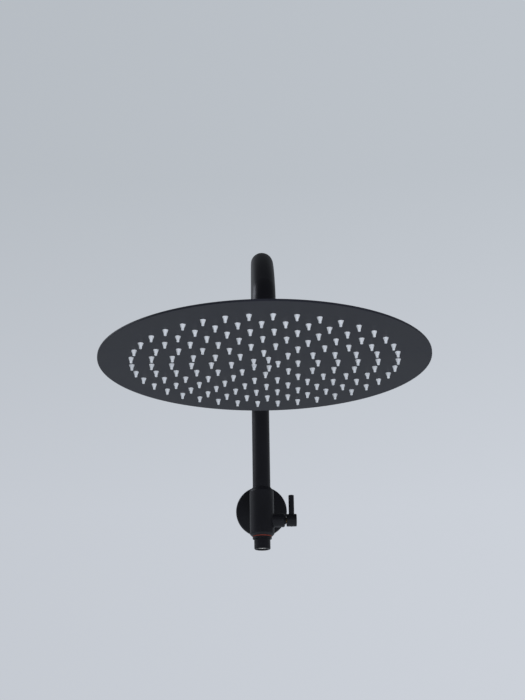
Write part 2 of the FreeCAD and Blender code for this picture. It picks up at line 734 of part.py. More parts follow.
# ---------------------------------------------------------------- ball joint
def swivel_ball():
    """Ball, neck and hexagon with the thread that takes the arm's nipple."""
    top = Vector(0, HEAD_Y, TUBE_END)
    hex_base = BALL_CENTRE + UP * NECK_TOP
    corner_r = SWIVEL_FLATS / math.sqrt(3)
    flat_r = SWIVEL_FLATS / 2
    height = TUBE_END - hex_base.z
    chamfer = (corner_r - flat_r) / 2
    envelope = turned(
        [(0, 0), (flat_r, 0), (corner_r, chamfer), (corner_r, height - chamfer), (flat_r, height), (0, height)],
        hex_base,
        UP,
    )
    body = hexagon(SWIVEL_FLATS, height, hex_base, UP).common(envelope)
    body = body.fuse([Part.makeSphere(BALL_R, BALL_CENTRE), rod(NECK_R, BALL_CENTRE, hex_base)])
    thread_floor = BALL_CENTRE + UP * SWIVEL_BASE
    return body.cut(
        [
            rod(BALL_BORE_R, BALL_CENTRE + DOWN * BALL_R, thread_floor),
            rod(THREAD_R, thread_floor, top),
        ]
    )


def filter_washer():
    """Rubber washer that seals the nipple and holds the screen."""
    start = BALL_CENTRE + UP * SWIVEL_BASE
    return ring(THREAD_R - PUSH_FIT, NIPPLE_BORE_R, start, start + UP * FILTER_THICKNESS)


def filter_screen():
    """Stainless disc pierced in a hexagonal pattern."""
    start = BALL_CENTRE + UP * (SWIVEL_BASE + FILTER_THICKNESS / 2)
    end = start + UP * SCREEN_THICKNESS
    holes = []
    for row in range(-SCREEN_RINGS, SCREEN_RINGS + 1):
        for step in range(-SCREEN_RINGS, SCREEN_RINGS + 1):
            if abs(row + step) > SCREEN_RINGS:
                continue
            offset = Vector(SCREEN_PITCH * (step + row / 2), SCREEN_PITCH * row * math.sqrt(3) / 2, 0)
            holes.append(rod(SCREEN_HOLE_R, start + offset, end + offset))
    return rod(NIPPLE_BORE_R, start, end).cut(holes)


def flow_regulator():
    """Plastic disc in the ball's bore that limits the flow."""
    end = BALL_CENTRE + UP * (SWIVEL_BASE - PUSH_FIT)
    start = end + DOWN * REGULATOR_LENGTH
    holes = []
    for k in range(REGULATOR_HOLES):
        turn = 2 * math.pi * k / REGULATOR_HOLES
        offset = Vector(math.cos(turn), math.sin(turn), 0) * (BALL_BORE_R / 2 + REGULATOR_HOLE_R / 2)
        holes.append(rod(REGULATOR_HOLE_R, start + offset, end + offset))
    return rod(BALL_BORE_R - PUSH_FIT, start, end).cut(holes)


def upper_liner():
    return spherical_shell(LINER_INNER_R, LINER_OUTER_R, LINER_TOP_ANGLES, BALL_CENTRE)


def ball_seat():
    return spherical_shell(LINER_INNER_R, LINER_OUTER_R, LINER_SEAT_ANGLES, BALL_CENTRE)


def head_hub():
    """Socket half welded to the pan, threaded outside for the swivel nut."""
    foot = PAN_UNDERSIDE - BALL_Z
    throat = CUP_R * math.sin(math.radians(180 - SOCKET_FOOT_ANGLE))
    outline = [
        (throat, foot),
        (HUB_SPIGOT_R, foot),
        (HUB_SPIGOT_R, foot + SHEET),
        (HUB_FLANGE_R, foot + SHEET),
        (HUB_FLANGE_R, foot + SHEET + HUB_FLANGE),
        (HUB_BARREL_R, foot + SHEET + HUB_FLANGE),
        (HUB_BARREL_R, 0),
        (throat, 0),
    ]
    return turned(outline, BALL_CENTRE, UP).cut(Part.makeSphere(CUP_R, BALL_CENTRE))


def swivel_nut():
    """Upper half of the socket, with a flared mouth and grip flutes."""
    outline = [
        (HUB_BARREL_R, -NUT_SKIRT),
        (NUT_R, -NUT_SKIRT),
        (NUT_R, NUT_TOP - NUT_SHOULDER_DROP),
        (NUT_R - NUT_SHOULDER_WIDTH, NUT_TOP),
        (MOUTH_R + NUT_MOUTH_FLARE, NUT_TOP),
        (MOUTH_R, MOUTH_Z),
        (MOUTH_R, 0),
        (HUB_BARREL_R, 0),
    ]
    nut = turned(outline, BALL_CENTRE, UP).cut(Part.makeSphere(CUP_R, BALL_CENTRE))
    flutes = []
    for k in range(NUT_FLUTES):
        turn = 2 * math.pi * k / NUT_FLUTES
        offset = Vector(math.cos(turn), math.sin(turn), 0) * (NUT_R + NUT_FLUTE_R / 2)
        base = BALL_CENTRE + offset + DOWN * NUT_SKIRT
        flutes.append(rod(NUT_FLUTE_R, base, base + UP * (NUT_SKIRT + NUT_TOP)))
    return nut.cut(flutes)


# ---------------------------------------------------------------- rain head
def nozzle_places():
    """Centres of the nozzles on the underside of the face plate."""
    places = []
    for ring_number, count in enumerate(NOZZLE_RINGS):
        radius = NOZZLE_FIRST_RING_R + NOZZLE_RING_PITCH * ring_number
        for k in range(count):
            turn = math.radians(NOZZLE_PHASE - 360.0 * k / count)
            places.append(Vector(radius * math.cos(turn), HEAD_Y + radius * math.sin(turn), FACE_UNDERSIDE))
    return places


def head_face_plate():
    outline = [
        (0, 0),
        (HEAD_R - RIM_ROUNDING, 0),
        (HEAD_R, RIM_ROUNDING),
        (HEAD_R, SHEET),
        (0, SHEET),
    ]
    plate = turned(outline, Vector(0, HEAD_Y, FACE_UNDERSIDE), UP)
    holes = [Part.makeCylinder(NOZZLE_HOLE_R, SHEET, place) for place in nozzle_places()]
    return plate.cut(Part.makeCompound(holes))


def head_back_plate():
    """Thin pressed pan, flat at the rim where it is welded to the face plate."""
    wall_foot = HEAD_R - RIM_WIDTH
    wall_head = wall_foot - PAN_TAPER
    outline = [
        (HUB_SPIGOT_R, PAN_RISE),
        (wall_head, PAN_RISE),
        (wall_foot, 0),
        (HEAD_R, 0),
        (HEAD_R, SHEET - RIM_ROUNDING),
        (HEAD_R - RIM_ROUNDING, SHEET),
        (wall_foot + SHEET / 2, SHEET),
        (wall_head + SHEET / 2, PAN_RISE + SHEET),
        (HUB_SPIGOT_R, PAN_RISE + SHEET),
    ]
    return turned(outline, Vector(0, HEAD_Y, FACE_TOP), UP)


def nozzle_outline():
    """Half section of one nozzle, from the mat down to its tip."""
    return [
        (NOZZLE_BORE_R, -NOZZLE_LENGTH),
        (NOZZLE_TIP_R, -NOZZLE_LENGTH),
        (NOZZLE_TIP_R, -NOZZLE_CONE),
        (NOZZLE_BASE_R, 0),
        (NOZZLE_BASE_R, SHEET),
        (NOZZLE_BORE_R, SHEET),
    ]


def nozzle_mat():
    """Silicone mat behind the face plate, with a nozzle through each hole."""
    top = Vector(0, HEAD_Y, FACE_TOP + MAT_THICKNESS)
    mat = rod(MAT_R, Vector(0, HEAD_Y, FACE_TOP), top)
    nozzles = [turned(nozzle_outline(), place, UP) for place in nozzle_places()]
    bores = [Part.makeCylinder(NOZZLE_BORE_R, SHEET + MAT_THICKNESS, place) for place in nozzle_places()]
    return mat.cut(Part.makeCompound(bores)).fuse(nozzles)


# ---------------------------------------------------------------- nodes
NODES = {
    "gooseneck_tube": gooseneck_tube,
    "arm_nipple": arm_nipple,
    "valve_body": valve_body,
    "riser_orings": riser_orings,
    "riser_grub_screw": riser_grub_screw,
    "wall_spigot": wall_spigot,
    "spigot_orings": spigot_orings,
    "spigot_grub_screw": spigot_grub_screw,
    "wall_flange": wall_flange,
    "flange_ring": flange_ring,
    "wall_gasket": wall_gasket,
    "diverter_sleeve": diverter_sleeve,
    "sleeve_orings": sleeve_orings,
    "diverter_spool": diverter_spool,
    "spool_orings": spool_orings,
    "bonnet_nut": bonnet_nut,
    "diverter_knob": diverter_knob,
    "knob_grub_screw": knob_grub_screw,
    "lever_pin": lever_pin,
    "hose_outlet": hose_outlet,
    "outlet_washer": outlet_washer,
    "check_valve_cage": check_valve_cage,
    "check_valve_poppet": check_valve_poppet,
    "check_valve_spring": check_valve_spring,
    "swivel_ball": swivel_ball,
    "filter_washer": filter_washer,
    "filter_screen": filter_screen,
    "flow_regulator": flow_regulator,
    "upper_liner": upper_liner,
    "ball_seat": ball_seat,
    "head_hub": head_hub,
    "swivel_nut": swivel_nut,
    "head_back_plate": head_back_plate,
    "head_face_plate": head_face_plate,
    "nozzle_mat": nozzle_mat,
}

os.makedirs("parts", exist_ok=True)
for name, make in NODES.items():
    shape = make()
    shape.exportStep("parts/" + name + ".step")
    print(f"{name}: {len(shape.Solids)} solid(s), {shape.Volume:.1f} mm3, valid {shape.isValid()}")
print(f"ball centre y {HEAD_Y:.3f} z {BALL_Z:.3f}, face underside {FACE_UNDERSIDE:.3f}, tube end {TUBE_END:.3f}")
print(f"straight of the arm {ARM_STRAIGHT:.1f}, outlet end {OUTLET_END:.2f}, cage floor {CHECK_FLOOR:.2f}")
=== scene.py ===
"""Rainfall shower column: the visual model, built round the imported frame.

Metres, in the frame's own axes: the origin is on the wall plane, on the axis of the wall
inlet, +Y points into the wall, +X to the right of a person facing it and +Z up. Sizes are
written in millimetres and multiplied by MM.
"""

import logging
import math
from dataclasses import dataclass
from enum import Enum
from typing import Callable, Sequence

import bmesh
import bpy
from mathutils import Matrix, Vector


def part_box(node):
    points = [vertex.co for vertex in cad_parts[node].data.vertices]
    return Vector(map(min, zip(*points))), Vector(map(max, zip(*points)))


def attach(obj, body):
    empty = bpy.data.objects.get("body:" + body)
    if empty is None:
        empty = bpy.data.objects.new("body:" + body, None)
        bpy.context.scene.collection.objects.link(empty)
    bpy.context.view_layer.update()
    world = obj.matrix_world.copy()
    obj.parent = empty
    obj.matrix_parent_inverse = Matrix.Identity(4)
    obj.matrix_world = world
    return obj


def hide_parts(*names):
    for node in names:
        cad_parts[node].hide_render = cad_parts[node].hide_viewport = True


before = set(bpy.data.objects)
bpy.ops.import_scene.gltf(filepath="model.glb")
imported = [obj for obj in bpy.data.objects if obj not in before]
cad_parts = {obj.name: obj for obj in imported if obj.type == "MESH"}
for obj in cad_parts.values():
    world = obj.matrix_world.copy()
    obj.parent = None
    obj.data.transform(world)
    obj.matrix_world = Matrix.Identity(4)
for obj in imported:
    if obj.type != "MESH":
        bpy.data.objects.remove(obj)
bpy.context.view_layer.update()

MM = 0.001
log = logging.getLogger("shower_column")

Setting = object
Link = bpy.types.NodeSocket


class Body(Enum):
    """The bodies that new pieces ride on."""

    COLUMN = "column"
    LEVER = "diverter_lever"
    HEAD = "rain_head"


class Slot(Enum):
    """The record's material slots."""

    TUBE = "black_tube"
    BODY = "black_body"
    SHEET = "black_sheet"
    SILICONE = "grey_silicone"
    RUBBER = "black_rubber"
    FOAM = "grey_foam"
    BRASS = "brass"
    DARK_STEEL = "dark_steel"
    STAINLESS = "stainless"
    ACETAL = "white_acetal"
    FIBRE = "fibre"


class Axis(Enum):
    """Directions in which a turned piece is laid."""

    UP = Vector((0, 0, 1))
    RIGHT = Vector((1, 0, 0))
    FRONT = Vector((0, -1, 0))
    BACK = Vector((0, 1, 0))

    def turn(self) -> Matrix:
        """Rotation from +Z to this direction."""
        return Vector((0, 0, 1)).rotation_difference(self.value).to_matrix()


# ---------------------------------------------------------------- nodes
def linear(colour: str, alpha: float = 1.0) -> tuple[float, float, float, float]:
    """Turns an sRGB hex colour to linear.

    Args:
        colour: six hex digits after a hash sign.
        alpha: opacity to go with it.

    Returns:
        Red, green, blue and alpha for a node's socket.
    """
    parts = [int(colour[i : i + 2], 16) / 255 for i in (1, 3, 5)]
    lin = [p / 12.92 if p <= 0.04045 else ((p + 0.055) / 1.055) ** 2.4 for p in parts]
    return (lin[0], lin[1], lin[2], alpha)


def add_node(
    tree: bpy.types.NodeTree,
    kind: str,
    inputs: dict[str | int, Setting] | None = None,
    **settings: Setting,
) -> bpy.types.Node:
    """Adds a node with its settings, values and links.

    Args:
        tree: node tree that gets it.
        kind: Blender's name for the node type.
        inputs: a value, or a socket to link from, for each input named or numbered.
        settings: the node's own properties.

    Returns:
        The new node.
    """
    node = tree.nodes.new(kind)
    for name, value in settings.items():
        setattr(node, name, value)
    for key, value in (inputs or {}).items():
        if isinstance(value, bpy.types.NodeSocket):
            tree.links.new(value, node.inputs[key])
        else:
            node.inputs[key].default_value = value
    return node


class GeometryTree:
    """One Geometry Nodes tree with named inputs, run once to give a plain mesh."""

    def __init__(self, name: str) -> None:
        """Starts an empty tree.

        Args:
            name: what the tree makes.
        """
        self.tree = bpy.data.node_groups.new(name, "GeometryNodeTree")
        for way in ("INPUT", "OUTPUT"):
            self.tree.interface.new_socket(
                "Geometry", in_out=way, socket_type="NodeSocketGeometry"
            )
        self.source = self.tree.nodes.new("NodeGroupInput")
        self.values: dict[str, Setting] = {}

    def input(self, name: str, kind: str, value: Setting) -> Link:
        """Adds a named input.

        Args:
            name: name of the size or choice.
            kind: the socket type, such as Float, Int or Object.
            value: what this run gives it.

        Returns:
            The socket to link from.
        """
        item = self.tree.interface.new_socket(
            name, in_out="INPUT", socket_type="NodeSocket" + kind
        )
        self.values[item.identifier] = value
        return self.source.outputs[name]

    def add(
        self,
        kind: str,
        inputs: dict[str | int, Setting] | None = None,
        **settings: Setting,
    ) -> bpy.types.Node:
        """Adds a node to this tree, as add_node does."""
        return add_node(self.tree, kind, inputs, **settings)

    def join(self, parts: Sequence[Link]) -> Link:
        """Joins several geometries.

        Args:
            parts: geometry sockets, first to last.

        Returns:
            The joined geometry.
        """
        node = self.tree.nodes.new("GeometryNodeJoinGeometry")
        for part in reversed(parts):
            self.tree.links.new(part, node.inputs[0])
        return node.outputs[0]

    def run(
        self, geometry: Link, material: bpy.types.Material, carrier: bpy.types.Mesh
    ) -> bpy.types.Mesh:
        """Ends the tree, evaluates it once and turns the result to a plain mesh.

        Args:
            geometry: what the tree has made.
            material: finish that the tree sets.
            carrier: mesh of the object that holds the modifier, the tree's Geometry input.

        Returns:
            The new mesh. The modifier and its object are gone.
        """
        real = self.add("GeometryNodeRealizeInstances", {0: geometry})
        finish = self.input("Material", "Material", material)
        dressed = self.add("GeometryNodeSetMaterial", {0: real.outputs[0], "Material": finish})
        out = self.tree.nodes.new("NodeGroupOutput")
        self.tree.links.new(dressed.outputs[0], out.inputs[0])
        holder = bpy.data.objects.new(self.tree.name, carrier)
        bpy.context.scene.collection.objects.link(holder)
        modifier = holder.modifiers.new("tree", "NODES")
        modifier.node_group = self.tree
        for identifier, value in self.values.items():
            modifier[identifier] = value
        graph = bpy.context.evaluated_depsgraph_get()
        mesh = bpy.data.meshes.new_from_object(
            holder.evaluated_get(graph), preserve_all_data_layers=True, depsgraph=graph
        )
        holder.modifiers.remove(modifier)
        bpy.data.objects.remove(holder)
        return mesh


# ---------------------------------------------------------------- finishes
class Shader:
    """The node tree of one material while it is put together."""

    def __init__(self, name: str) -> None:
        """Starts a material with a Principled surface and Object coordinates.

        Args:
            name: the finish's name.
        """
        self.material = bpy.data.materials.new(name)
        self.material.use_nodes = True
        self.tree = self.material.node_tree
        self.tree.nodes.clear()
        self.surface = self.tree.nodes.new("ShaderNodeBsdfPrincipled")
        output = self.tree.nodes.new("ShaderNodeOutputMaterial")
        self.tree.links.new(self.surface.outputs[0], output.inputs["Surface"])
        self.place = self.tree.nodes.new("ShaderNodeTexCoord").outputs["Object"]

    def add(
        self,
        kind: str,
        inputs: dict[str | int, Setting] | None = None,
        **settings: Setting,
    ) -> Link:
        """Adds a node to this material and returns its first output."""
        return add_node(self.tree, kind, inputs, **settings).outputs[0]

    def grain(self, size_mm: float, detail: float = 2.0, place: Link | None = None) -> Link:
        """Adds an even, random pattern.

        Args:
            size_mm: real size of one feature.
            detail: how many finer layers it has.
            place: coordinates, if not the object's own.

        Returns:
            The pattern, from 0 to 1.
        """
        inputs = {"Vector": place or self.place, "Scale": 1 / (size_mm * MM), "Detail": detail}
        return self.add("ShaderNodeTexNoise", inputs)

    def ranged(self, value: Link, low: float, high: float, span: float = 0.25) -> Link:
        """Stretches a pattern's middle to a range.

        Args:
            value: the pattern.
            low: result where the pattern is low.
            high: result where it is high.
            span: how far from the pattern's middle it reaches each end.

        Returns:
            The stretched pattern.
        """
        inputs = {0: value, 1: 0.5 - span, 2: 0.5 + span, 3: low, 4: high}
        return self.add("ShaderNodeMapRange", inputs)

    def blend(self, value: Link, low: str, high: str) -> Link:
        """Colours a pattern from one sRGB hex colour to another.

        Args:
            value: the pattern, from 0 to 1.
            low: colour at 0.
            high: colour at 1.

        Returns:
            The colour.
        """
        node = add_node(
            self.tree,
            "ShaderNodeMix",
            {0: value, 6: linear(low), 7: linear(high)},
            data_type="RGBA",
        )
        return node.outputs[2]

    def bump(self, height: Link, depth_mm: float, under: Link | None = None) -> Link:
        """Adds relief.

        Args:
            height: the pattern.
            depth_mm: how deep it is.
            under: relief that this one lies on.

        Returns:
            The normal.
        """
        inputs: dict[str | int, Setting] = {
            "Height": height,
            "Distance": depth_mm * MM,
            "Strength": 1.0,
        }
        if under is not None:
            inputs["Normal"] = under
        return self.add("ShaderNodeBump", inputs)

    def dress(self, **sockets: Setting) -> bpy.types.Material:
        """Sets or links the surface's sockets.

        Args:
            sockets: values or links by the socket's name, with spaces as underscores.

        Returns:
            The finished material.
        """
        for name, value in sockets.items():
            socket = self.surface.inputs[name.replace("_", " ")]
            if isinstance(value, bpy.types.NodeSocket):
                self.tree.links.new(value, socket)
            else:
                socket.default_value = value
        return self.material


@dataclass(frozen=True)
class PowderCoat:
    """Satin polyester powder coat, baked on.

    It gives a very dark, slightly blue black with a soft wide highlight, a faint orange
    peel a few millimetres long, and a fine dry grain that breaks the highlight up.
    """

    name: str
    dark: str = "#0e0e12"
    light: str = "#141419"
    roughness: float = 0.42
    peel_mm: float = 2.6
    peel_depth_mm: float = 0.012
    grain_mm: float = 0.35
    grain_depth_mm: float = 0.006
    specular: float = 0.5

    def build(self) -> bpy.types.Material:
        """Makes the material.

        Returns:
            The material.
        """
        shader = Shader(self.name)
        haze = shader.ranged(shader.grain(45.0, 3.0), 0.0, 1.0)
        grain = shader.grain(self.grain_mm, 1.0)
        rough = shader.add(
            "ShaderNodeMath",
            {0: shader.ranged(haze, -0.03, 0.03, 0.5), 1: shader.ranged(grain, -0.03, 0.03)},
            operation="ADD",
        )
        peel = shader.bump(shader.grain(self.peel_mm, 0.5), self.peel_depth_mm)
        return shader.dress(
            Base_Color=shader.blend(haze, self.dark, self.light),
            Roughness=shader.add(
                "ShaderNodeMath", {0: rough, 1: self.roughness}, operation="ADD"
            ),
            IOR=1.5,
            Specular_IOR_Level=self.specular,
            Normal=shader.bump(grain, self.grain_depth_mm, peel),
        )


@dataclass(frozen=True)
class Silicone:
    """Moulded liquid silicone rubber, translucent light grey.

    It gives a soft, milky grey that light enters a little way, a satin skin, and a trace
    of dust in its pores.
    """

    name: str
    dark: str = "#dcdfe1"
    light: str = "#eceeef"
    roughness: float = 0.48

    def build(self) -> bpy.types.Material:
        """Makes the material.

        Returns:
            The material.
        """
        shader = Shader(self.name)
        cloud = shader.ranged(shader.grain(3.0, 2.0), 0.0, 1.0)
        skin = shader.grain(0.4, 1.0)
        return shader.dress(
            Base_Color=shader.blend(cloud, self.dark, self.light),
            Roughness=shader.ranged(skin, self.roughness - 0.06, self.roughness + 0.06),
            IOR=1.41,
            Subsurface_Weight=0.15,
            Subsurface_Radius=(1.0, 0.95, 0.9),
            Subsurface_Scale=0.6 * MM,
            Normal=shader.bump(skin, 0.01),
        )


@dataclass(frozen=True)
class TurnedMetal:
    """Bare metal off a lathe or a die: free-cutting brass, or stainless steel.

    It gives a metal colour that tarnishes unevenly, crossed by fine tool marks that go
    round the piece. The marks are drawn four times coarser than a real 0.1 mm feed, so
    that they show.
    """

    name: str
    bright: str
    dull: str
    axis: Axis
    roughness: float = 0.28
    feed_mm: float = 0.4

    def build(self) -> bpy.types.Material:
        """Makes the material.

        Returns:
            The material.
        """
        shader = Shader(self.name)
        scale = [1 / (self.feed_mm * MM) if abs(c) > 0.5 else 25.0 for c in self.axis.value]
        along = shader.add("ShaderNodeMapping", {"Vector": shader.place, "Scale": scale})
        marks = shader.add("ShaderNodeTexNoise", {"Vector": along, "Scale": 1.0, "Detail": 1.0})
        tarnish = shader.ranged(shader.grain(7.0, 4.0), 0.0, 1.0)
        worn = shader.ranged(marks, -0.06, 0.08)
        patina = shader.ranged(tarnish, self.roughness, self.roughness + 0.12, 0.5)
        return shader.dress(
            Base_Color=shader.blend(tarnish, self.bright, self.dull),
            Metallic=1.0,
            Roughness=shader.add("ShaderNodeMath", {0: worn, 1: patina}, operation="ADD"),
            Normal=shader.bump(marks, 0.012),
        )


@dataclass(frozen=True)
class Moulded:
    """Moulded polymer or pressed fibre: rubber, acetal, foam, vulcanised fibre.

    It gives an even body colour with a slow cloud in it, and the matt spark-eroded grain
    of the mould, or the felted grain of the sheet.
    """

    name: str
    dark: str
    light: str
    roughness: float
    ior: float
    grain_mm: float = 0.3
    depth_mm: float = 0.012
    cloud_mm: float = 4.0

    def build(self) -> bpy.types.Material:
        """Makes the material.

        Returns:
            The material.
        """
        shader = Shader(self.name)
        cloud = shader.ranged(shader.grain(self.cloud_mm, 3.0), 0.0, 1.0)
        grain = shader.grain(self.grain_mm, 2.0)
        return shader.dress(
            Base_Color=shader.blend(cloud, self.dark, self.light),
            Roughness=shader.ranged(grain, self.roughness - 0.07, self.roughness + 0.07),
            IOR=self.ior,
            Normal=shader.bump(grain, self.depth_mm),
        )


@dataclass(frozen=True)
class BlackOxide:
    """Hardened steel screw with a hot black oxide finish, lightly oiled.

    It gives a near-black conversion layer over steel, with brown at thin places and a
    low sheen.
    """

    name: str
    dark: str = "#17171a"
    light: str = "#2b2725"
    roughness: float = 0.4

    def build(self) -> bpy.types.Material:
        """Makes the material.

        Returns:
            The material.
        """
        shader = Shader(self.name)
        thin = shader.ranged(shader.grain(1.2, 3.0), 0.0, 1.0)
        return shader.dress(
            Base_Color=shader.blend(thin, self.dark, self.light),
            Metallic=0.6,
            Roughness=shader.ranged(thin, self.roughness, self.roughness + 0.12, 0.5),
            Normal=shader.bump(shader.grain(0.3), 0.008),
        )


class Finishes:
    """Every finish of the object, built once."""

    def __init__(self) -> None:
        """Builds the materials."""
        tube = PowderCoat("satin_black_powder_coat_on_tube", specular=0.35)
        cast = PowderCoat(
            "satin_black_powder_coat_on_casting",
            peel_mm=3.4,
            peel_depth_mm=0.02,
            specular=0.35,
        )
        # Painted light: the sheet's base colour is set lighter than the tube's and the casting's,
        # standing in for the brighter light and floor reflection on the plate's underside.
        sheet = PowderCoat(
            "matt_black_powder_coat_on_sheet",
            dark="#1c1d24",
            light="#24252d",
            roughness=0.5,
            peel_mm=1.8,
            specular=0.3,
        )
        self.tube = tube.build()
        self.cast = cast.build()
        self.sheet = sheet.build()
        self.silicone = Silicone("moulded_silicone").build()
        ways = (("upright", Axis.UP), ("across", Axis.RIGHT), ("into_wall", Axis.BACK))
        self.brass_up, self.brass_across, self.brass_back = (
            TurnedMetal(f"turned_brass_{way}", "#d9b25e", "#a9833f", axis).build()
            for way, axis in ways
        )
        self.stainless = TurnedMetal(
            "drawn_stainless_steel", "#c9cbcc", "#a3a6a8", Axis.UP, roughness=0.22
        ).build()
        self.rubber = Moulded(
            "moulded_nitrile_rubber", "#0b0b0c", "#16161a", 0.58, 1.52, 0.25
        ).build()
        self.acetal = Moulded("moulded_acetal", "#dedbd2", "#e9e7e0", 0.34, 1.48).build()
        self.foam = Moulded(
            "closed_cell_foam", "#7c7e80", "#9a9c9e", 0.85, 1.4, 0.6, 0.08
        ).build()
        self.fibre = Moulded(
            "vulcanised_fibre", "#6d2a1f", "#8a3a2a", 0.62, 1.5, 0.2, 0.02
        ).build()
        self.oxide = BlackOxide("black_oxide_steel").build()


# ---------------------------------------------------------------- meshes
@dataclass(frozen=True)
class Corner:
    """One corner of a turned outline, in millimetres, with the radius that softens it."""

    radius: float
    height: float
    soft: float = 0.0

    @property
    def point(self) -> Vector:
        """The corner as a 2-D vector."""
        return Vector((self.radius, self.height))


def softened(outline: Sequence[Corner], closed: bool, steps: int) -> list[Vector]:
    """Replaces each soft corner of an outline by a short arc.

    Args:
        outline: corners in order.
        closed: whether the last joins the first.
        steps: faces in each arc.

    Returns:
        The points of the finished outline, in millimetres.
    """
    points: list[Vector] = []
    count = len(outline)
    for index, corner in enumerate(outline):
        end = not closed and index in (0, count - 1)
        if corner.soft <= 0 or end:
            points.append(corner.point)
            continue
        back = outline[index - 1].point - corner.point
        on = outline[(index + 1) % count].point - corner.point
        half = back.angle(on) / 2
        run = min(corner.soft / math.tan(half), 0.49 * back.length, 0.49 * on.length)
        radius = run * math.tan(half)
        middle = (back.normalized() + on.normalized()).normalized()
        centre = corner.point + middle * (radius / math.sin(half))
        start = corner.point + back.normalized() * run - centre
        stop = corner.point + on.normalized() * run - centre
        first = math.atan2(start.y, start.x)
        sweep = math.atan2(stop.y, stop.x) - first
        sweep = (sweep + math.pi) % math.tau - math.pi
        for step in range(steps + 1):
            turn = first + sweep * step / steps
            points.append(centre + radius * Vector((math.cos(turn), math.sin(turn))))
    return points


def divided(points: Sequence[Vector], longest: float, closed: bool) -> list[Vector]:
    """Splits the long runs of an outline.

    Args:
        points: the outline.
        longest: longest run that stays whole, in millimetres.
        closed: whether the last joins the first.

    Returns:
        The outline with the extra points.
    """
    result: list[Vector] = []
    count = len(points)
    for index, here in enumerate(points):
        result.append(here)
        if index == count - 1 and not closed:
            break
        there = points[(index + 1) % count]
        parts = max(1, math.ceil((there - here).length / longest))
        result += [here.lerp(there, k / parts) for k in range(1, parts)]
    return result


@dataclass
class Turning:
    """A shape off the lathe: an outline turned about an axis.

    shape, where there is one, gives the radius from the angle, the outline's radius and
    its height, for flutes and flats that are milled after turning.
    """

    outline: Sequence[Corner]
    origin: Vector
    axis: Axis = Axis.UP
    segments: int = 96
    closed: bool = True
    steps: int = 4
    longest: float = 0.0
    shape: Callable[[float, float, float], float] | None = None

    def fill(self, mesh: bmesh.types.BMesh) -> None:
        """Adds the shape to a mesh.

        Args:
            mesh: mesh that gets it, in metres.
        """
        points = softened(self.outline, self.closed, self.steps)
        if self.longest:
            points = divided(points, self.longest, self.closed)
        turn = self.axis.turn()
        rings = [self._ring(mesh, point, turn) for point in points]
        pairs = list(zip(rings, rings[1:]))
        if self.closed:
            pairs.append((rings[-1], rings[0]))
        for lower, upper in pairs:
            self._band(mesh, lower, upper)

    def _ring(
        self, mesh: bmesh.types.BMesh, point: Vector, turn: Matrix
    ) -> list[bmesh.types.BMVert]:
        """Adds the vertices that one outline point sweeps; one vertex on the axis.

        Args:
            mesh: mesh that gets them.
            point: point of the outline, in millimetres.
            turn: rotation that lays the axis.

        Returns:
            The new vertices.
        """
        if point.x < 1e-6:
            place = turn @ Vector((0, 0, point.y))
            return [mesh.verts.new((self.origin + place) * MM)]
        ring = []
        for index in range(self.segments):
            angle = math.tau * index / self.segments
            radius = self.shape(angle, point.x, point.y) if self.shape else point.x
            place = turn @ Vector((radius * math.cos(angle), radius * math.sin(angle), point.y))
            ring.append(mesh.verts.new((self.origin + place) * MM))
        return ring

    @staticmethod
    def _band(
        mesh: bmesh.types.BMesh,
        lower: list[bmesh.types.BMVert],
        upper: list[bmesh.types.BMVert],
    ) -> None:
        """Adds the faces between two rings.

        Args:
            mesh: mesh that gets them.
            lower: the first ring.
            upper: the second ring.
        """
        count = max(len(lower), len(upper))
        if count == 1:
            return
        for index in range(count):
            after = (index + 1) % count
            face = [lower[index % len(lower)], lower[after % len(lower)]]
            face += [upper[after % len(upper)], upper[index % len(upper)]]
            corners = [v for n, v in enumerate(face) if v not in face[:n]]
            mesh.faces.new(corners)


def bowl(radius: float, angles: Sequence[int]) -> list[Corner]:
    """Outlines a part of a ball's socket.

    Args:
        radius: the socket's radius.
        angles: degrees above its equator, less than zero below it.

    Returns:
        One corner for each angle.
    """
    turns = [math.radians(angle) for angle in angles]
    return [Corner(radius * math.cos(turn), radius * math.sin(turn)) for turn in turns]


def mesh_of(name: str, shape: Turning) -> bpy.types.Mesh:
    """Turns a shape to a mesh with its faces outwards.

    Args:
        name: the mesh's name.
        shape: the turned shape.

    Returns:
        The mesh, in metres.
    """
    build = bmesh.new()
    shape.fill(build)
    bmesh.ops.remove_doubles(build, verts=build.verts, dist=1e-7)
    return mesh_from(name, build)


def mesh_from(name: str, build: bmesh.types.BMesh) -> bpy.types.Mesh:
    """Ends a mesh: its faces turn outwards.

    Args:
        name: the mesh's name.
        build: the faces, in metres.

    Returns:
        The new mesh.
    """
    bmesh.ops.recalc_face_normals(build, faces=build.faces)
    mesh = bpy.data.meshes.new(name)
    build.to_mesh(mesh)
    build.free()
    return mesh


def joined(name: str, meshes: Sequence[bpy.types.Mesh]) -> bpy.types.Mesh:
    """Joins meshes to one, each shell with its faces outwards.

    Args:
        name: the new mesh's name.
        meshes: the meshes, in metres.

    Returns:
        The joined mesh.
    """
    build = bmesh.new()
    for mesh in meshes:
        build.from_mesh(mesh)
    return mesh_from(name, build)


def new_object(name: str, mesh: bpy.types.Mesh) -> bpy.types.Object:
    """Puts a mesh in the scene, at the origin.

    Args:
        name: the object's name.
        mesh: its mesh.

    Returns:
        The new object.
    """
    piece = bpy.data.objects.new(name, mesh)
    bpy.context.scene.collection.objects.link(piece)
    return piece


def applied(piece: bpy.types.Object) -> bpy.types.Object:
    """Turns a piece and its modifiers to a plain mesh.

    Args:
        piece: the object with modifiers.

    Returns:
        The same piece, with none.
    """
    graph = bpy.context.evaluated_depsgraph_get()
    mesh = bpy.data.meshes.new_from_object(piece.evaluated_get(graph), depsgraph=graph)
    piece.modifiers.clear()
    piece.data = mesh
    return piece


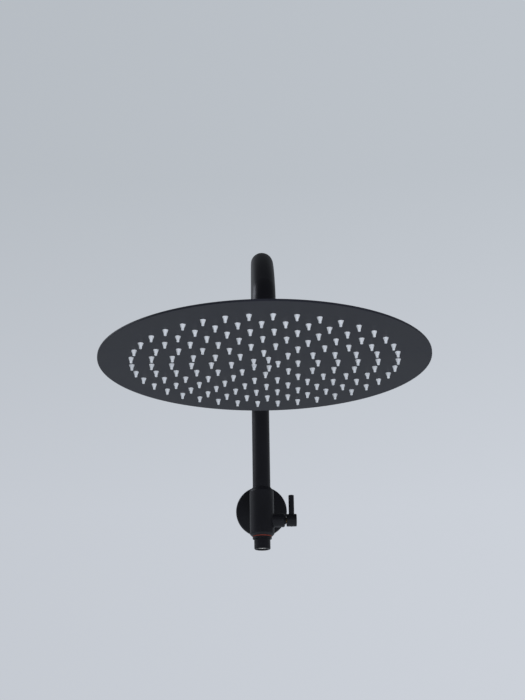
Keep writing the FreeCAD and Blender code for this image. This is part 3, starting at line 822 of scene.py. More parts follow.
def drilled(piece: bpy.types.Object, tools: Sequence[Turning]) -> bpy.types.Object:
    """Cuts turned tools out of a piece.

    Args:
        piece: what is cut.
        tools: the shapes that are taken away.

    Returns:
        The same piece, with a new mesh.
    """
    for tool in tools:
        cutter = new_object("cutter", mesh_of("cutter", tool))
        modifier = piece.modifiers.new("cut", "BOOLEAN")
        modifier.object = cutter
        modifier.solver = "EXACT"
        applied(piece)
        bpy.data.objects.remove(cutter)
    return piece


def settled(
    piece: bpy.types.Object,
    material: bpy.types.Material,
    body: Body,
    slot: Slot,
    *nodes: str,
    crease: float = 35.0,
) -> None:
    """Gives a piece its finish and shading, and hands it to the frame.

    Args:
        piece: the finished shape.
        material: its finish.
        body: what it rides on.
        slot: not used.
        nodes: CAD nodes that it stands for.
        crease: angle in degrees over which an edge stays sharp.
    """
    mesh = piece.data
    mesh.materials.clear()
    mesh.materials.append(material)
    mesh.polygons.foreach_set("use_smooth", [True] * len(mesh.polygons))
    mesh.set_sharp_from_angle(angle=math.radians(crease))
    normals = piece.modifiers.new("even_normals", "WEIGHTED_NORMAL")
    normals.keep_sharp = True
    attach(piece, body.value)
    if nodes:
        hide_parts(*nodes)
    log.info(
        "%s: %d faces, %s, rides on %s, stands for %s",
        piece.name,
        len(mesh.polygons),
        material.name,
        body.value,
        ", ".join(nodes) or "nothing",
    )


def turned(
    name: str,
    shape: Turning,
    finish: bpy.types.Material,
    body: Body,
    slot: Slot,
    *nodes: str,
    crease: float = 35.0,
) -> None:
    """Makes a piece of one turned shape.

    Args:
        name: the piece's name.
        shape: the shape off the lathe.
        finish: its material.
        body: what it rides on.
        slot: not used.
        nodes: CAD nodes that it stands for.
        crease: angle in degrees over which an edge stays sharp.
    """
    settled(new_object(name, mesh_of(name, shape)), finish, body, slot, *nodes, crease=crease)


def dressed(material: bpy.types.Material, slot: Slot, *nodes: str) -> None:
    """Gives CAD nodes whose shape is right their finish.

    Args:
        material: the finish.
        slot: not used.
        nodes: names of the nodes.
    """
    for name in nodes:
        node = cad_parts[name]
        for holder in node.material_slots:
            holder.material = material
        log.info("%s: CAD node in %s", name, material.name)


# ---------------------------------------------------------------- places
WALL = Vector((0, 0, 0))
COLUMN_AXIS = Vector((0, -60.0, 0))
DIVERTER_AXIS = Vector((0, -60.0, -24.3))
REACH = 550.0
BALL_TO_TUBE_END = 26.4997
FACE = Vector((0, -REACH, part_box("head_face_plate")[0][2] / MM))
TUBE_END_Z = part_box("swivel_ball")[1][2] / MM
BALL = Vector((0, -REACH, TUBE_END_Z - BALL_TO_TUBE_END))


# ---------------------------------------------------------------- riser and arm
@dataclass
class Gooseneck:
    """One bent tube: riser, crown bend, straight, shoulder bend and drop."""

    outer_r: float = 11.0
    wall: float = 1.2
    foot_z: float = 2.0
    crown_start_z: float = 104.5
    crown_r: float = 80.0
    arm_slope: float = 0.0
    shoulder_r: float = 324.5
    shoulder_slope: float = 45.0
    drop_r: float = 35.0
    drop_straight: float = 5.0
    degrees_per_step: float = 2.5
    sides: int = 72

    def corners(self) -> list[tuple[Vector, float, float]]:
        """Works out where the tube's straight runs would meet.

        Returns:
            Place, bend radius and turning angle in degrees of each corner and end.
        """
        arm = math.radians(self.arm_slope)
        shoulder = math.radians(self.shoulder_slope)
        start = COLUMN_AXIS + Vector((0, 0, self.foot_z))
        crown_turn = 90 + self.arm_slope
        crown = COLUMN_AXIS + Vector(
            (0, 0, self.crown_start_z + self.crown_r * math.tan(math.radians(crown_turn / 2)))
        )
        end = Vector((0, BALL.y, TUBE_END_Z))
        # The line that leaves the crown at the arm's slope meets the line that enters the
        # drop bend at the shoulder's slope.
        drop_run = self.drop_r * math.tan(math.radians(90 - self.shoulder_slope) / 2)
        drop = end + Vector((0, 0, self.drop_straight + drop_run))
        along = Vector((0, -math.cos(arm), -math.sin(arm)))
        into = Vector((0, -math.cos(shoulder), -math.sin(shoulder)))
        gap = drop - crown
        distance = (gap.y * into.z - gap.z * into.y) / (along.y * into.z - along.z * into.y)
        bend = crown + along * distance
        return [
            (start, 0.0, 0.0),
            (crown, self.crown_r, crown_turn),
            (bend, self.shoulder_r, self.shoulder_slope - self.arm_slope),
            (drop, self.drop_r, 90 - self.shoulder_slope),
            (end, 0.0, 0.0),
        ]

    def carrier(self) -> bpy.types.Mesh:
        """Makes the line through the corners, with each bend's radius and steps.

        Returns:
            A mesh of edges with two attributes on its points.
        """
        corners = self.corners()
        mesh = bpy.data.meshes.new("tube_route")
        edges = [(k, k + 1) for k in range(len(corners) - 1)]
        mesh.from_pydata([place * MM for place, _, _ in corners], edges, [])
        radius = mesh.attributes.new("bend_radius", "FLOAT", "POINT")
        steps = mesh.attributes.new("bend_steps", "INT", "POINT")
        for index, (_, bend, turn) in enumerate(corners):
            radius.data[index].value = bend * MM
            steps.data[index].value = max(1, round(turn / self.degrees_per_step))
        return mesh

    def build(self, finish: bpy.types.Material) -> None:
        """Bends the tube and gives it its wall.

        Args:
            finish: the material it gets.
        """
        tree = GeometryTree("bent_tube")
        outer = tree.input("Tube radius", "Float", self.outer_r * MM)
        sides = tree.input("Sides", "Int", self.sides)
        route = tree.add("GeometryNodeMeshToCurve", {0: tree.source.outputs[0]})
        radius = tree.add(
            "GeometryNodeInputNamedAttribute", {"Name": "bend_radius"}, data_type="FLOAT"
        )
        steps = tree.add(
            "GeometryNodeInputNamedAttribute", {"Name": "bend_steps"}, data_type="INT"
        )
        bent = tree.add(
            "GeometryNodeFilletCurve",
            {0: route.outputs[0], "Count": steps.outputs[0], "Radius": radius.outputs[0]},
            mode="POLY",
        )
        circle = tree.add(
            "GeometryNodeCurvePrimitiveCircle", {"Resolution": sides, "Radius": outer}
        )
        tube = tree.add(
            "GeometryNodeCurveToMesh",
            {"Curve": bent.outputs[0], "Profile Curve": circle.outputs[0]},
        )
        mesh = tree.run(tube.outputs[0], finish, self.carrier())
        piece = new_object("riser_and_arm", mesh)
        wall = piece.modifiers.new("wall", "SOLIDIFY")
        wall.thickness = self.wall * MM
        wall.offset = -1.0
        applied(piece)
        settled(piece, finish, Body.COLUMN, Slot.TUBE, "gooseneck_tube")


# ---------------------------------------------------------------- rain head
@dataclass
class NozzlePattern:
    """Where the nozzles are: rings about the head's centre, each starting at one phase."""

    counts: tuple[int, ...] = (5, 8, 14, 20, 26, 32, 38)
    first_ring_r: float = 12.0
    outer_ring_r: float = 120.0
    phase: float = -1.9

    def points(self, tree: GeometryTree) -> Link:
        """Adds the rings of points to a tree.

        Args:
            tree: the tree that gets them.

        Returns:
            Geometry with one vertex at each nozzle, about the origin.
        """
        first = tree.input("First ring radius", "Float", self.first_ring_r * MM)
        pitch_mm = (self.outer_ring_r - self.first_ring_r) / (len(self.counts) - 1)
        pitch = tree.input("Ring pitch", "Float", pitch_mm * MM)
        phase = tree.input("Phase", "Float", math.radians(self.phase))
        rings = []
        for index, number in enumerate(self.counts):
            count = tree.input(f"Nozzles in ring {index + 1}", "Int", number)
            radius = tree.add(
                "ShaderNodeMath", {0: pitch, 1: float(index), 2: first}, operation="MULTIPLY_ADD"
            )
            ring = tree.add(
                "GeometryNodeMeshCircle", {"Vertices": count, "Radius": radius.outputs[0]}
            )
            rings.append(ring.outputs[0])
        turn = tree.add("ShaderNodeCombineXYZ", {"Z": phase})
        field = tree.add(
            "GeometryNodeTransform", {0: tree.join(rings), "Rotation": turn.outputs[0]}
        )
        return field.outputs[0]


@dataclass
class RainHead:
    """Thin round head: perforated face, pressed pan, silicone nozzles and hub."""

    pattern: NozzlePattern
    radius: float = 150.0
    sheet: float = 1.0
    rim_soft: float = 0.35
    hole_r: float = 2.6
    hole_soft: float = 0.25
    hole_sides: int = 20
    rim_sides: int = 240
    pan_rise: float = 5.0
    pan_foot_r: float = 131.5
    pan_head_r: float = 127.5
    hub_spigot_r: float = 14.0
    hub_barrel_r: float = 16.0
    hub_flange_r: float = 19.0
    hub_flange_height: float = 2.5
    throat_angle: float = 30.0
    cup_r: float = 12.75
    mat_r: float = 127.0
    mat_thickness: float = 1.2
    nozzle_length: float = 5.0
    nozzle_sides: int = 12
    jet_r: float = 0.55
    jet_depth: float = 3.2
    tip_r: float = 1.2
    cone_height: float = 3.4
    foot_r: float = 2.5
    foot_height: float = 1.1
    lean: float = 2.5
    shortest: float = 0.97
    seed: int = 7

    def rolled_edge(
        self, name: str, edge_r: float, roll: float, steps: int, sides: int
    ) -> bpy.types.Object:
        """Makes the wall of a hole or a rim, rolled over at the face.

        Args:
            name: the wall's name.
            edge_r: radius of the wall.
            roll: how far the roll moves out from the axis; less than zero at a rim.
            steps: faces in the roll.
            sides: faces round it.

        Returns:
            An open ring, about the origin, in metres.
        """
        outline = [
            Corner(
                edge_r + roll * (1 - math.sin(math.radians(90 * step / steps))),
                abs(roll) * (1 - math.cos(math.radians(90 * step / steps))),
            )
            for step in range(steps + 1)
        ]
        outline.append(Corner(edge_r, self.sheet))
        shape = Turning(outline, WALL, segments=sides, closed=False)
        return new_object(name, mesh_of(name, shape))

    def face_plate(self, finish: bpy.types.Material) -> None:
        """Punches the face plate: two flat skins, the hole walls and the rim, welded.

        Args:
            finish: the material it gets.
        """
        tree = GeometryTree("perforated_face")
        hole_r = tree.input("Hole radius", "Float", self.hole_r * MM)
        roll = tree.input("Hole roll", "Float", self.hole_soft * MM)
        outer = tree.input("Plate radius", "Float", self.radius * MM)
        rim_roll = tree.input("Rim roll", "Float", self.rim_soft * MM)
        thickness = tree.input("Sheet thickness", "Float", self.sheet * MM)
        hole_sides = tree.input("Hole sides", "Int", self.hole_sides)
        rim_sides = tree.input("Rim sides", "Int", self.rim_sides)
        hole_edge = self.rolled_edge("hole_edge", self.hole_r, self.hole_soft, 3, self.hole_sides)
        rim_edge = self.rolled_edge("rim_edge", self.radius, -self.rim_soft, 4, self.rim_sides)
        hole_wall = tree.input("Hole wall", "Object", hole_edge)
        rim_wall = tree.input("Rim wall", "Object", rim_edge)
        points = self.pattern.points(tree)

        def skin(hole: Link, rim: Link) -> Link:
            """Fills the disc between its rim and its holes.

            Args:
                hole: radius of the holes.
                rim: radius of the rim.

            Returns:
                The filled disc.
            """
            circle = tree.add("GeometryNodeMeshCircle", {"Vertices": hole_sides, "Radius": hole})
            placed = tree.add(
                "GeometryNodeInstanceOnPoints", {"Points": points, "Instance": circle.outputs[0]}
            )
            holes = tree.add("GeometryNodeRealizeInstances", {0: placed.outputs[0]})
            edge = tree.add("GeometryNodeMeshCircle", {"Vertices": rim_sides, "Radius": rim})
            lines = tree.join([edge.outputs[0], holes.outputs[0]])
            curves = tree.add("GeometryNodeMeshToCurve", {0: lines})
            return tree.add(
                "GeometryNodeFillCurve", {0: curves.outputs[0]}, mode="TRIANGLES"
            ).outputs[0]

        wide = tree.add("ShaderNodeMath", {0: hole_r, 1: roll}, operation="ADD")
        narrow = tree.add("ShaderNodeMath", {0: outer, 1: rim_roll}, operation="SUBTRACT")
        under = skin(wide.outputs[0], narrow.outputs[0])
        lift = tree.add("ShaderNodeCombineXYZ", {"Z": thickness})
        over = tree.add(
            "GeometryNodeTransform", {0: skin(hole_r, outer), "Translation": lift.outputs[0]}
        )
        wall = tree.add("GeometryNodeObjectInfo", {"Object": hole_wall})
        walls = tree.add(
            "GeometryNodeInstanceOnPoints",
            {"Points": points, "Instance": wall.outputs["Geometry"]},
        )
        rim = tree.add("GeometryNodeObjectInfo", {"Object": rim_wall})
        parts = tree.join([under, over.outputs[0], walls.outputs[0], rim.outputs["Geometry"]])
        solid = tree.add("GeometryNodeRealizeInstances", {0: parts})
        welded = tree.add(
            "GeometryNodeMergeByDistance", {0: solid.outputs[0], "Distance": 0.01 * MM}
        )
        placed = tree.add(
            "GeometryNodeTransform", {0: welded.outputs[0], "Translation": FACE * MM}
        )
        mesh = tree.run(placed.outputs[0], finish, bpy.data.meshes.new("empty"))
        for tool in (hole_edge, rim_edge):
            bpy.data.objects.remove(tool)
        piece = new_object("perforated_face_plate", joined("perforated_face_plate", [mesh]))
        settled(piece, finish, Body.HEAD, Slot.SHEET, "head_face_plate")

    def nozzle(self) -> bpy.types.Mesh:
        """Makes one nozzle, point down, with its foot in the plate's hole.

        Returns:
            A closed mesh of a few dozen faces, about its foot, in metres.
        """
        outline = [
            Corner(0, -self.jet_depth),
            Corner(self.jet_r, -self.jet_depth),
            Corner(self.jet_r, -self.nozzle_length),
            Corner(self.tip_r - 0.2, -self.nozzle_length),
            Corner(self.tip_r, 0.2 - self.nozzle_length),
            Corner(self.tip_r + 0.05, -self.cone_height),
            Corner(self.foot_r, 0),
            Corner(self.foot_r, self.foot_height),
            Corner(0, self.foot_height),
        ]
        return mesh_of("nozzle", Turning(outline, WALL, segments=self.nozzle_sides))

    def nozzle_field(self, finish: bpy.types.Material) -> None:
        """Sets a nozzle in each hole, each leaning a little its own way, on the mat.

        Args:
            finish: the material it gets.
        """
        tree = GeometryTree("nozzle_field")
        nozzle = new_object("nozzle", self.nozzle())
        shape = tree.input("Nozzle", "Object", nozzle)
        lean = tree.input("Largest lean", "Float", math.radians(self.lean))
        shortest = tree.input("Shortest share", "Float", self.shortest)
        seed = tree.input("Seed", "Int", self.seed)
        points = self.pattern.points(tree)
        other = tree.add("ShaderNodeMath", {0: lean, 1: -1.0}, operation="MULTIPLY")
        low = tree.add("ShaderNodeCombineXYZ", {"X": other.outputs[0], "Y": other.outputs[0]})
        high = tree.add("ShaderNodeCombineXYZ", {"X": lean, "Y": lean, "Z": math.pi})
        tilt = tree.add(
            "FunctionNodeRandomValue",
            {0: low.outputs[0], 1: high.outputs[0], "Seed": seed},
            data_type="FLOAT_VECTOR",
        )
        length = tree.add(
            "FunctionNodeRandomValue", {2: shortest, 3: 1.0, "Seed": seed}, data_type="FLOAT"
        )
        size = tree.add("ShaderNodeCombineXYZ", {"X": 1.0, "Y": 1.0, "Z": length.outputs[1]})
        info = tree.add("GeometryNodeObjectInfo", {"Object": shape})
        field = tree.add(
            "GeometryNodeInstanceOnPoints",
            {
                "Points": points,
                "Instance": info.outputs["Geometry"],
                "Rotation": tilt.outputs[0],
                "Scale": size.outputs[0],
            },
        )
        placed = tree.add(
            "GeometryNodeTransform", {0: field.outputs[0], "Translation": FACE * MM}
        )
        mat = Turning(
            [
                Corner(0, self.sheet),
                Corner(self.mat_r, self.sheet, 0.2),
                Corner(self.mat_r, self.sheet + self.mat_thickness, 0.3),
                Corner(0, self.sheet + self.mat_thickness),
            ],
            FACE,
            segments=120,
            steps=2,
        )
        parts = tree.join([placed.outputs[0], tree.source.outputs[0]])
        mesh = tree.run(parts, finish, mesh_of("mat", mat))
        bpy.data.objects.remove(nozzle)
        piece = new_object("silicone_nozzles", mesh)
        settled(piece, finish, Body.HEAD, Slot.SILICONE, "nozzle_mat", crease=50.0)

    def back_pan(self, finish: bpy.types.Material) -> None:
        """Presses the pan: flat welded rim, sloping wall and flat top round the hub.

        Args:
            finish: the material it gets.
        """
        top = self.pan_rise
        outline = [
            Corner(self.hub_spigot_r, top),
            Corner(self.pan_head_r, top, 2.0),
            Corner(self.pan_foot_r, 0, 1.2),
            Corner(self.radius, 0, 0.1),
            Corner(self.radius, self.sheet, self.rim_soft),
            Corner(self.pan_foot_r + 0.5, self.sheet, 2.0),
            Corner(self.pan_head_r + 0.5, top + self.sheet, 2.5),
            Corner(self.hub_spigot_r, top + self.sheet),
        ]
        origin = FACE + Vector((0, 0, self.sheet))
        pan = Turning(outline, origin, segments=self.rim_sides, steps=6)
        turned("pressed_back_pan", pan, finish, Body.HEAD, Slot.SHEET, "head_back_plate")

    def hub(self, finish: bpy.types.Material) -> None:
        """Turns the hub: welded flange, barrel, and the lower half of the socket.

        Args:
            finish: the material it gets.
        """
        foot = FACE.z + self.sheet + self.pan_rise - BALL.z
        throat = self.cup_r * math.sin(math.radians(self.throat_angle))
        flange = foot + self.hub_flange_height
        outline = [
            Corner(throat, foot, 0.2),
            Corner(self.hub_spigot_r, foot, 0.2),
            Corner(self.hub_spigot_r, foot + self.sheet),
            Corner(self.hub_flange_r, foot + self.sheet, 0.15),
            Corner(self.hub_flange_r, flange, 0.5),
            Corner(self.hub_barrel_r, flange, 0.6),
            Corner(self.hub_barrel_r, 0, 0.2),
            *bowl(self.cup_r, range(0, -61, -5)),
        ]
        hub = Turning(outline, BALL, segments=96)
        turned("hub_socket", hub, finish, Body.HEAD, Slot.BODY, "head_hub")

    def build(self, finishes: Finishes) -> None:
        """Makes every piece of the head.

        Args:
            finishes: every finish of the object.
        """
        self.face_plate(finishes.sheet)
        self.nozzle_field(finishes.silicone)
        self.back_pan(finishes.sheet)
        self.hub(finishes.cast)


# ---------------------------------------------------------------- ball joint
@dataclass
class BallJoint:
    """Hexagon, neck and ball on the arm, held by the fluted nut on the hub."""

    ball_r: float = 11.0
    neck_r: float = 6.0
    bore_r: float = 4.0
    thread_r: float = 10.48
    flats: float = 25.0
    neck_top: float = 14.8
    thread_floor: float = 17.0
    nut_r: float = 19.5
    nut_top: float = 9.85
    nut_skirt: float = 9.0
    nut_slope_height: float = 5.0
    nut_slope_width: float = 5.5
    nut_lip: float = 1.2
    mouth_r: float = 10.05
    barrel_r: float = 16.0
    cup_r: float = 12.75
    flutes: int = 12
    flute_r: float = 1.6

    def hex_radius(self, angle: float, radius: float, height: float) -> float:
        """Mills the six flats.

        Args:
            angle: angle about the axis.
            radius: radius of the turned blank.
            height: height above the ball's centre.

        Returns:
            The radius after milling, with the corners just broken.
        """
        if height < self.neck_top - 0.01 or radius < self.thread_r + 0.5:
            return radius
        sector = math.radians(60)
        off = (angle % sector) - sector / 2
        flat = self.flats / 2 / math.cos(off)
        corner = self.flats / math.sqrt(3)
        return min(radius, flat, corner * 0.985)

    def connector(self, finish: bpy.types.Material) -> None:
        """Turns and mills the connector.

        Args:
            finish: the material it gets.
        """
        top = TUBE_END_Z - BALL.z
        flat_r = self.flats / 2
        corner_r = self.flats / math.sqrt(3)
        chamfer = (corner_r - flat_r) / 2
        start = math.degrees(math.asin(self.neck_r / self.ball_r))
        stop = 180 - math.degrees(math.asin(self.bore_r / self.ball_r))
        turns = [start + (stop - start) * k / 30 for k in range(31)]
        ball = [
            Corner(
                self.ball_r * math.sin(math.radians(t)), self.ball_r * math.cos(math.radians(t))
            )
            for t in turns
        ]
        outline = [
            Corner(self.bore_r, self.thread_floor),
            Corner(self.thread_r, self.thread_floor),
            Corner(self.thread_r, top, 0.2),
            Corner(flat_r, top, 0.15),
            Corner(corner_r, top - chamfer),
            Corner(corner_r, self.neck_top + chamfer),
            Corner(flat_r, self.neck_top, 0.15),
            Corner(self.neck_r, self.neck_top, 1.2),
            *ball,
        ]
        shape = Turning(
            outline, BALL, segments=120, longest=0.8, shape=self.hex_radius
        )
        turned("ball_connector", shape, finish, Body.COLUMN, Slot.BODY, "swivel_ball", crease=28.0)

    def fluted(self, angle: float, radius: float, height: float) -> float:
        """Mills the grip flutes, which run out at the top and bottom.

        Args:
            angle: angle about the axis.
            radius: radius of the turned blank.
            height: height above the ball's centre.

        Returns:
            The radius after milling.
        """
        centre = self.nut_r + self.flute_r / 2
        sector = math.tau / self.flutes
        off = (angle + sector / 2) % sector - sector / 2
        side = centre * math.sin(off)
        if abs(side) >= self.flute_r:
            return radius
        floor = centre * math.cos(off) - math.sqrt(self.flute_r**2 - side**2)
        if radius <= self.barrel_r + 0.5:
            return radius
        return min(radius, max(floor, self.barrel_r + 0.4))

    def nut(self, finish: bpy.types.Material) -> None:
        """Turns the nut and mills its flutes.

        Args:
            finish: the material it gets.
        """
        outline = [
            Corner(self.barrel_r, -self.nut_skirt, 0.2),
            Corner(self.nut_r, -self.nut_skirt, 0.6),
            Corner(self.nut_r, self.nut_top - self.nut_slope_height, 1.6),
            Corner(self.nut_r - self.nut_slope_width, self.nut_top, 0.8),
            Corner(self.mouth_r + self.nut_lip, self.nut_top, 0.3),
            *bowl(self.cup_r, range(38, -1, -5)),
            Corner(self.barrel_r, 0),
        ]
        shape = Turning(
            outline, BALL, segments=288, longest=1.0, steps=5, shape=self.fluted
        )
        turned("fluted_nut", shape, finish, Body.HEAD, Slot.BODY, "swivel_nut", crease=32.0)

    def build(self, finishes: Finishes) -> None:
        """Makes and dresses every piece of the joint.

        Args:
            finishes: every finish of the object.
        """
        self.connector(finishes.cast)
        self.nut(finishes.cast)
        dressed(finishes.brass_up, Slot.BRASS, "arm_nipple")
        dressed(finishes.rubber, Slot.RUBBER, "filter_washer")
        dressed(finishes.stainless, Slot.STAINLESS, "filter_screen")
        dressed(finishes.acetal, Slot.ACETAL, "flow_regulator", "upper_liner", "ball_seat")


# ---------------------------------------------------------------- threads
@dataclass
class PipeThread:
    """G 1/2 thread: a ridge that winds round a core, with a plain run-out at each end.

    The core's radius is crest_r less depth. The ridge's wide side stands out from it by
    rise_share of depth, and its narrow side lies inside the core.
    """

    crest_r: float = 10.48
    depth: float = 0.85
    pitch: float = 1.814
    steps_per_turn: int = 48
    half_share: float = 0.46
    narrow_share: float = 0.16
    rise_share: float = 0.4
    run_out: float = 0.6

    def ridge(
        self, origin: Vector, axis: Axis, length: float, finish: bpy.types.Material
    ) -> bpy.types.Mesh:
        """Winds the ridge.

        Args:
            origin: centre of the thread's first end, in millimetres.
            axis: direction in which it runs.
            length: how long the thread is.
            finish: material that the tree sets.

        Returns:
            The ridge's mesh, in metres.
        """
        run = length - 2 * self.run_out * self.pitch
        turns = run / self.pitch
        tree = GeometryTree("thread_ridge")
        height = tree.input("Length", "Float", run * MM)
        number = tree.input("Turns", "Float", turns)
        root = tree.input("Root radius", "Float", (self.crest_r - self.depth) * MM)
        depth = tree.input("Depth", "Float", self.depth * MM)
        half = tree.input("Half width", "Float", self.pitch * self.half_share * MM)
        spiral = tree.add(
            "GeometryNodeCurveSpiral",
            {
                "Resolution": self.steps_per_turn,
                "Rotations": number,
                "Start Radius": root,
                "End Radius": root,
                "Height": height,
            },
        )
        upright = tree.add("GeometryNodeSetCurveNormal", {0: spiral.outputs[0]}, mode="Z_UP")
        low, out, narrow, narrow_low = (
            tree.add("ShaderNodeMath", {0: size, 1: share}, operation="MULTIPLY").outputs[0]
            for size, share in (
                (half, -1.0),
                (depth, -self.rise_share),
                (half, self.narrow_share),
                (half, -self.narrow_share),
            )
        )
        # The profile's first axis points towards the thread's axis and its second along it.
        places = ((out, low), (depth, narrow_low), (depth, narrow), (out, half))
        corners = [
            tree.add("ShaderNodeCombineXYZ", {"X": x, "Y": y}).outputs[0] for x, y in places
        ]
        profile = tree.add(
            "GeometryNodeCurvePrimitiveQuadrilateral",
            {7: corners[0], 8: corners[1], 9: corners[2], 10: corners[3]},
            mode="POINTS",
        )
        wound = tree.add(
            "GeometryNodeCurveToMesh",
            {
                "Curve": upright.outputs[0],
                "Profile Curve": profile.outputs[0],
                "Fill Caps": True,
            },
        )
        mesh = tree.run(wound.outputs[0], finish, bpy.data.meshes.new("empty"))
        place = axis.turn().to_4x4()
        place.translation = (origin + axis.value * (self.run_out * self.pitch)) * MM
        mesh.transform(place)
        return mesh


# ---------------------------------------------------------------- wall fitting
@dataclass
class WallFitting:
    """Spigot in the wall, and the flange that hides its hole."""

    thread: PipeThread
    flange_r: float = 32.5
    rim: float = 3.5
    depth: float = 9.0
    sheet: float = 1.2
    hole_r: float = 14.2
    ring_length: float = 2.5
    spigot_r: float = 8.5
    bore_r: float = 4.5
    collar_r: float = 11.5
    collar: float = 6.0
    front: float = 37.6
    thread_length: float = 14.0

    def flange(self, finish: bpy.types.Material) -> None:
        """Presses the flange, with a soft edge and a turned-in lip round its hole.

        Args:
            finish: the material it gets.
        """
        inner = self.flange_r - self.sheet
        lip = self.depth - self.ring_length
        outline = [
            Corner(inner, 0.0),
            Corner(self.flange_r, 0.0, 0.2),
            Corner(self.flange_r, self.rim, 1.0),
            Corner(self.flange_r - self.sheet, self.rim + self.sheet, 1.4),
            Corner(self.hole_r + self.sheet, self.depth, 0.5),
            Corner(self.hole_r, self.depth, 0.3),
            Corner(self.hole_r, lip),
            Corner(self.hole_r + self.sheet, lip, 0.2),
            Corner(inner, self.rim, 0.8),
        ]
        shape = Turning(outline, WALL, Axis.FRONT, segments=160, steps=5)
        turned("pressed_flange", shape, finish, Body.COLUMN, Slot.BODY, "wall_flange")

    def spigot(self, finish: bpy.types.Material) -> None:
        """Turns the spigot: ring grooves, collar, and the thread that enters the wall.

        Args:
            finish: the material it gets.
        """
        core = self.thread.crest_r - self.thread.depth
        ring_r = 0.6
        outline = [Corner(self.bore_r, -self.front, 0.2), Corner(self.spigot_r, -self.front, 0.3)]
        rings = [(offset, 0.85, 2 * ring_r) for offset in (5.0, 10.0)]
        for offset, half, deep in [*rings, (17.0, 2.0, ring_r)]:
            middle = -self.front + offset
            outline += [
                Corner(self.spigot_r, middle - half),
                Corner(self.spigot_r - deep, middle - half),
                Corner(self.spigot_r - deep, middle + half),
                Corner(self.spigot_r, middle + half),
            ]
        outline += [
            Corner(self.spigot_r, -self.collar),
            Corner(self.collar_r, -self.collar, 0.4),
            Corner(self.collar_r, 0, 0.4),
            Corner(core, 0),
            Corner(core, self.thread_length, 0.5),
            Corner(self.bore_r, self.thread_length, 0.2),
        ]
        shape = Turning(outline, WALL, Axis.BACK, segments=80, steps=3)
        body = mesh_of("spigot", shape)
        ridge = self.thread.ridge(WALL, Axis.BACK, self.thread_length, finish)
        piece = new_object("threaded_spigot", joined("threaded_spigot", [body, ridge]))
        settled(piece, finish, Body.COLUMN, Slot.BRASS, "wall_spigot")

    def build(self, finishes: Finishes) -> None:
        """Makes and dresses every piece at the wall.

        Args:
            finishes: every finish of the object.
        """
        self.flange(finishes.cast)
        self.spigot(finishes.brass_back)
        dressed(finishes.rubber, Slot.RUBBER, "flange_ring", "spigot_orings")
        dressed(finishes.foam, Slot.FOAM, "wall_gasket")
        dressed(finishes.oxide, Slot.DARK_STEEL, "spigot_grub_screw")


# ---------------------------------------------------------------- valve body
@dataclass
class ValveBody:
    """Brass casting with its water ways, blasted and coated, so every edge is soft."""

    voxel: float = 0.5
    smoothing: int = 8

    def build(self, finishes: Finishes) -> None:
        """Casts the body from the CAD node's shape and softens it.

        Args:
            finishes: every finish of the object.
        """
        build = bmesh.new()
        build.from_mesh(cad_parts["valve_body"].data)
        bmesh.ops.remove_doubles(build, verts=build.verts, dist=1e-6)
        mesh = bpy.data.meshes.new("cast_body")
        build.to_mesh(mesh)
        build.free()
        piece = new_object("cast_body", mesh)
        cast = piece.modifiers.new("cast", "REMESH")
        cast.mode = "VOXEL"
        cast.voxel_size = self.voxel * MM
        blast = piece.modifiers.new("blast", "SMOOTH")
        blast.factor = 0.5
        blast.iterations = self.smoothing
        applied(piece)
        settled(piece, finishes.cast, Body.COLUMN, Slot.BODY, "valve_body", crease=60.0)
        dressed(finishes.rubber, Slot.RUBBER, "riser_orings")
        dressed(finishes.oxide, Slot.DARK_STEEL, "riser_grub_screw")


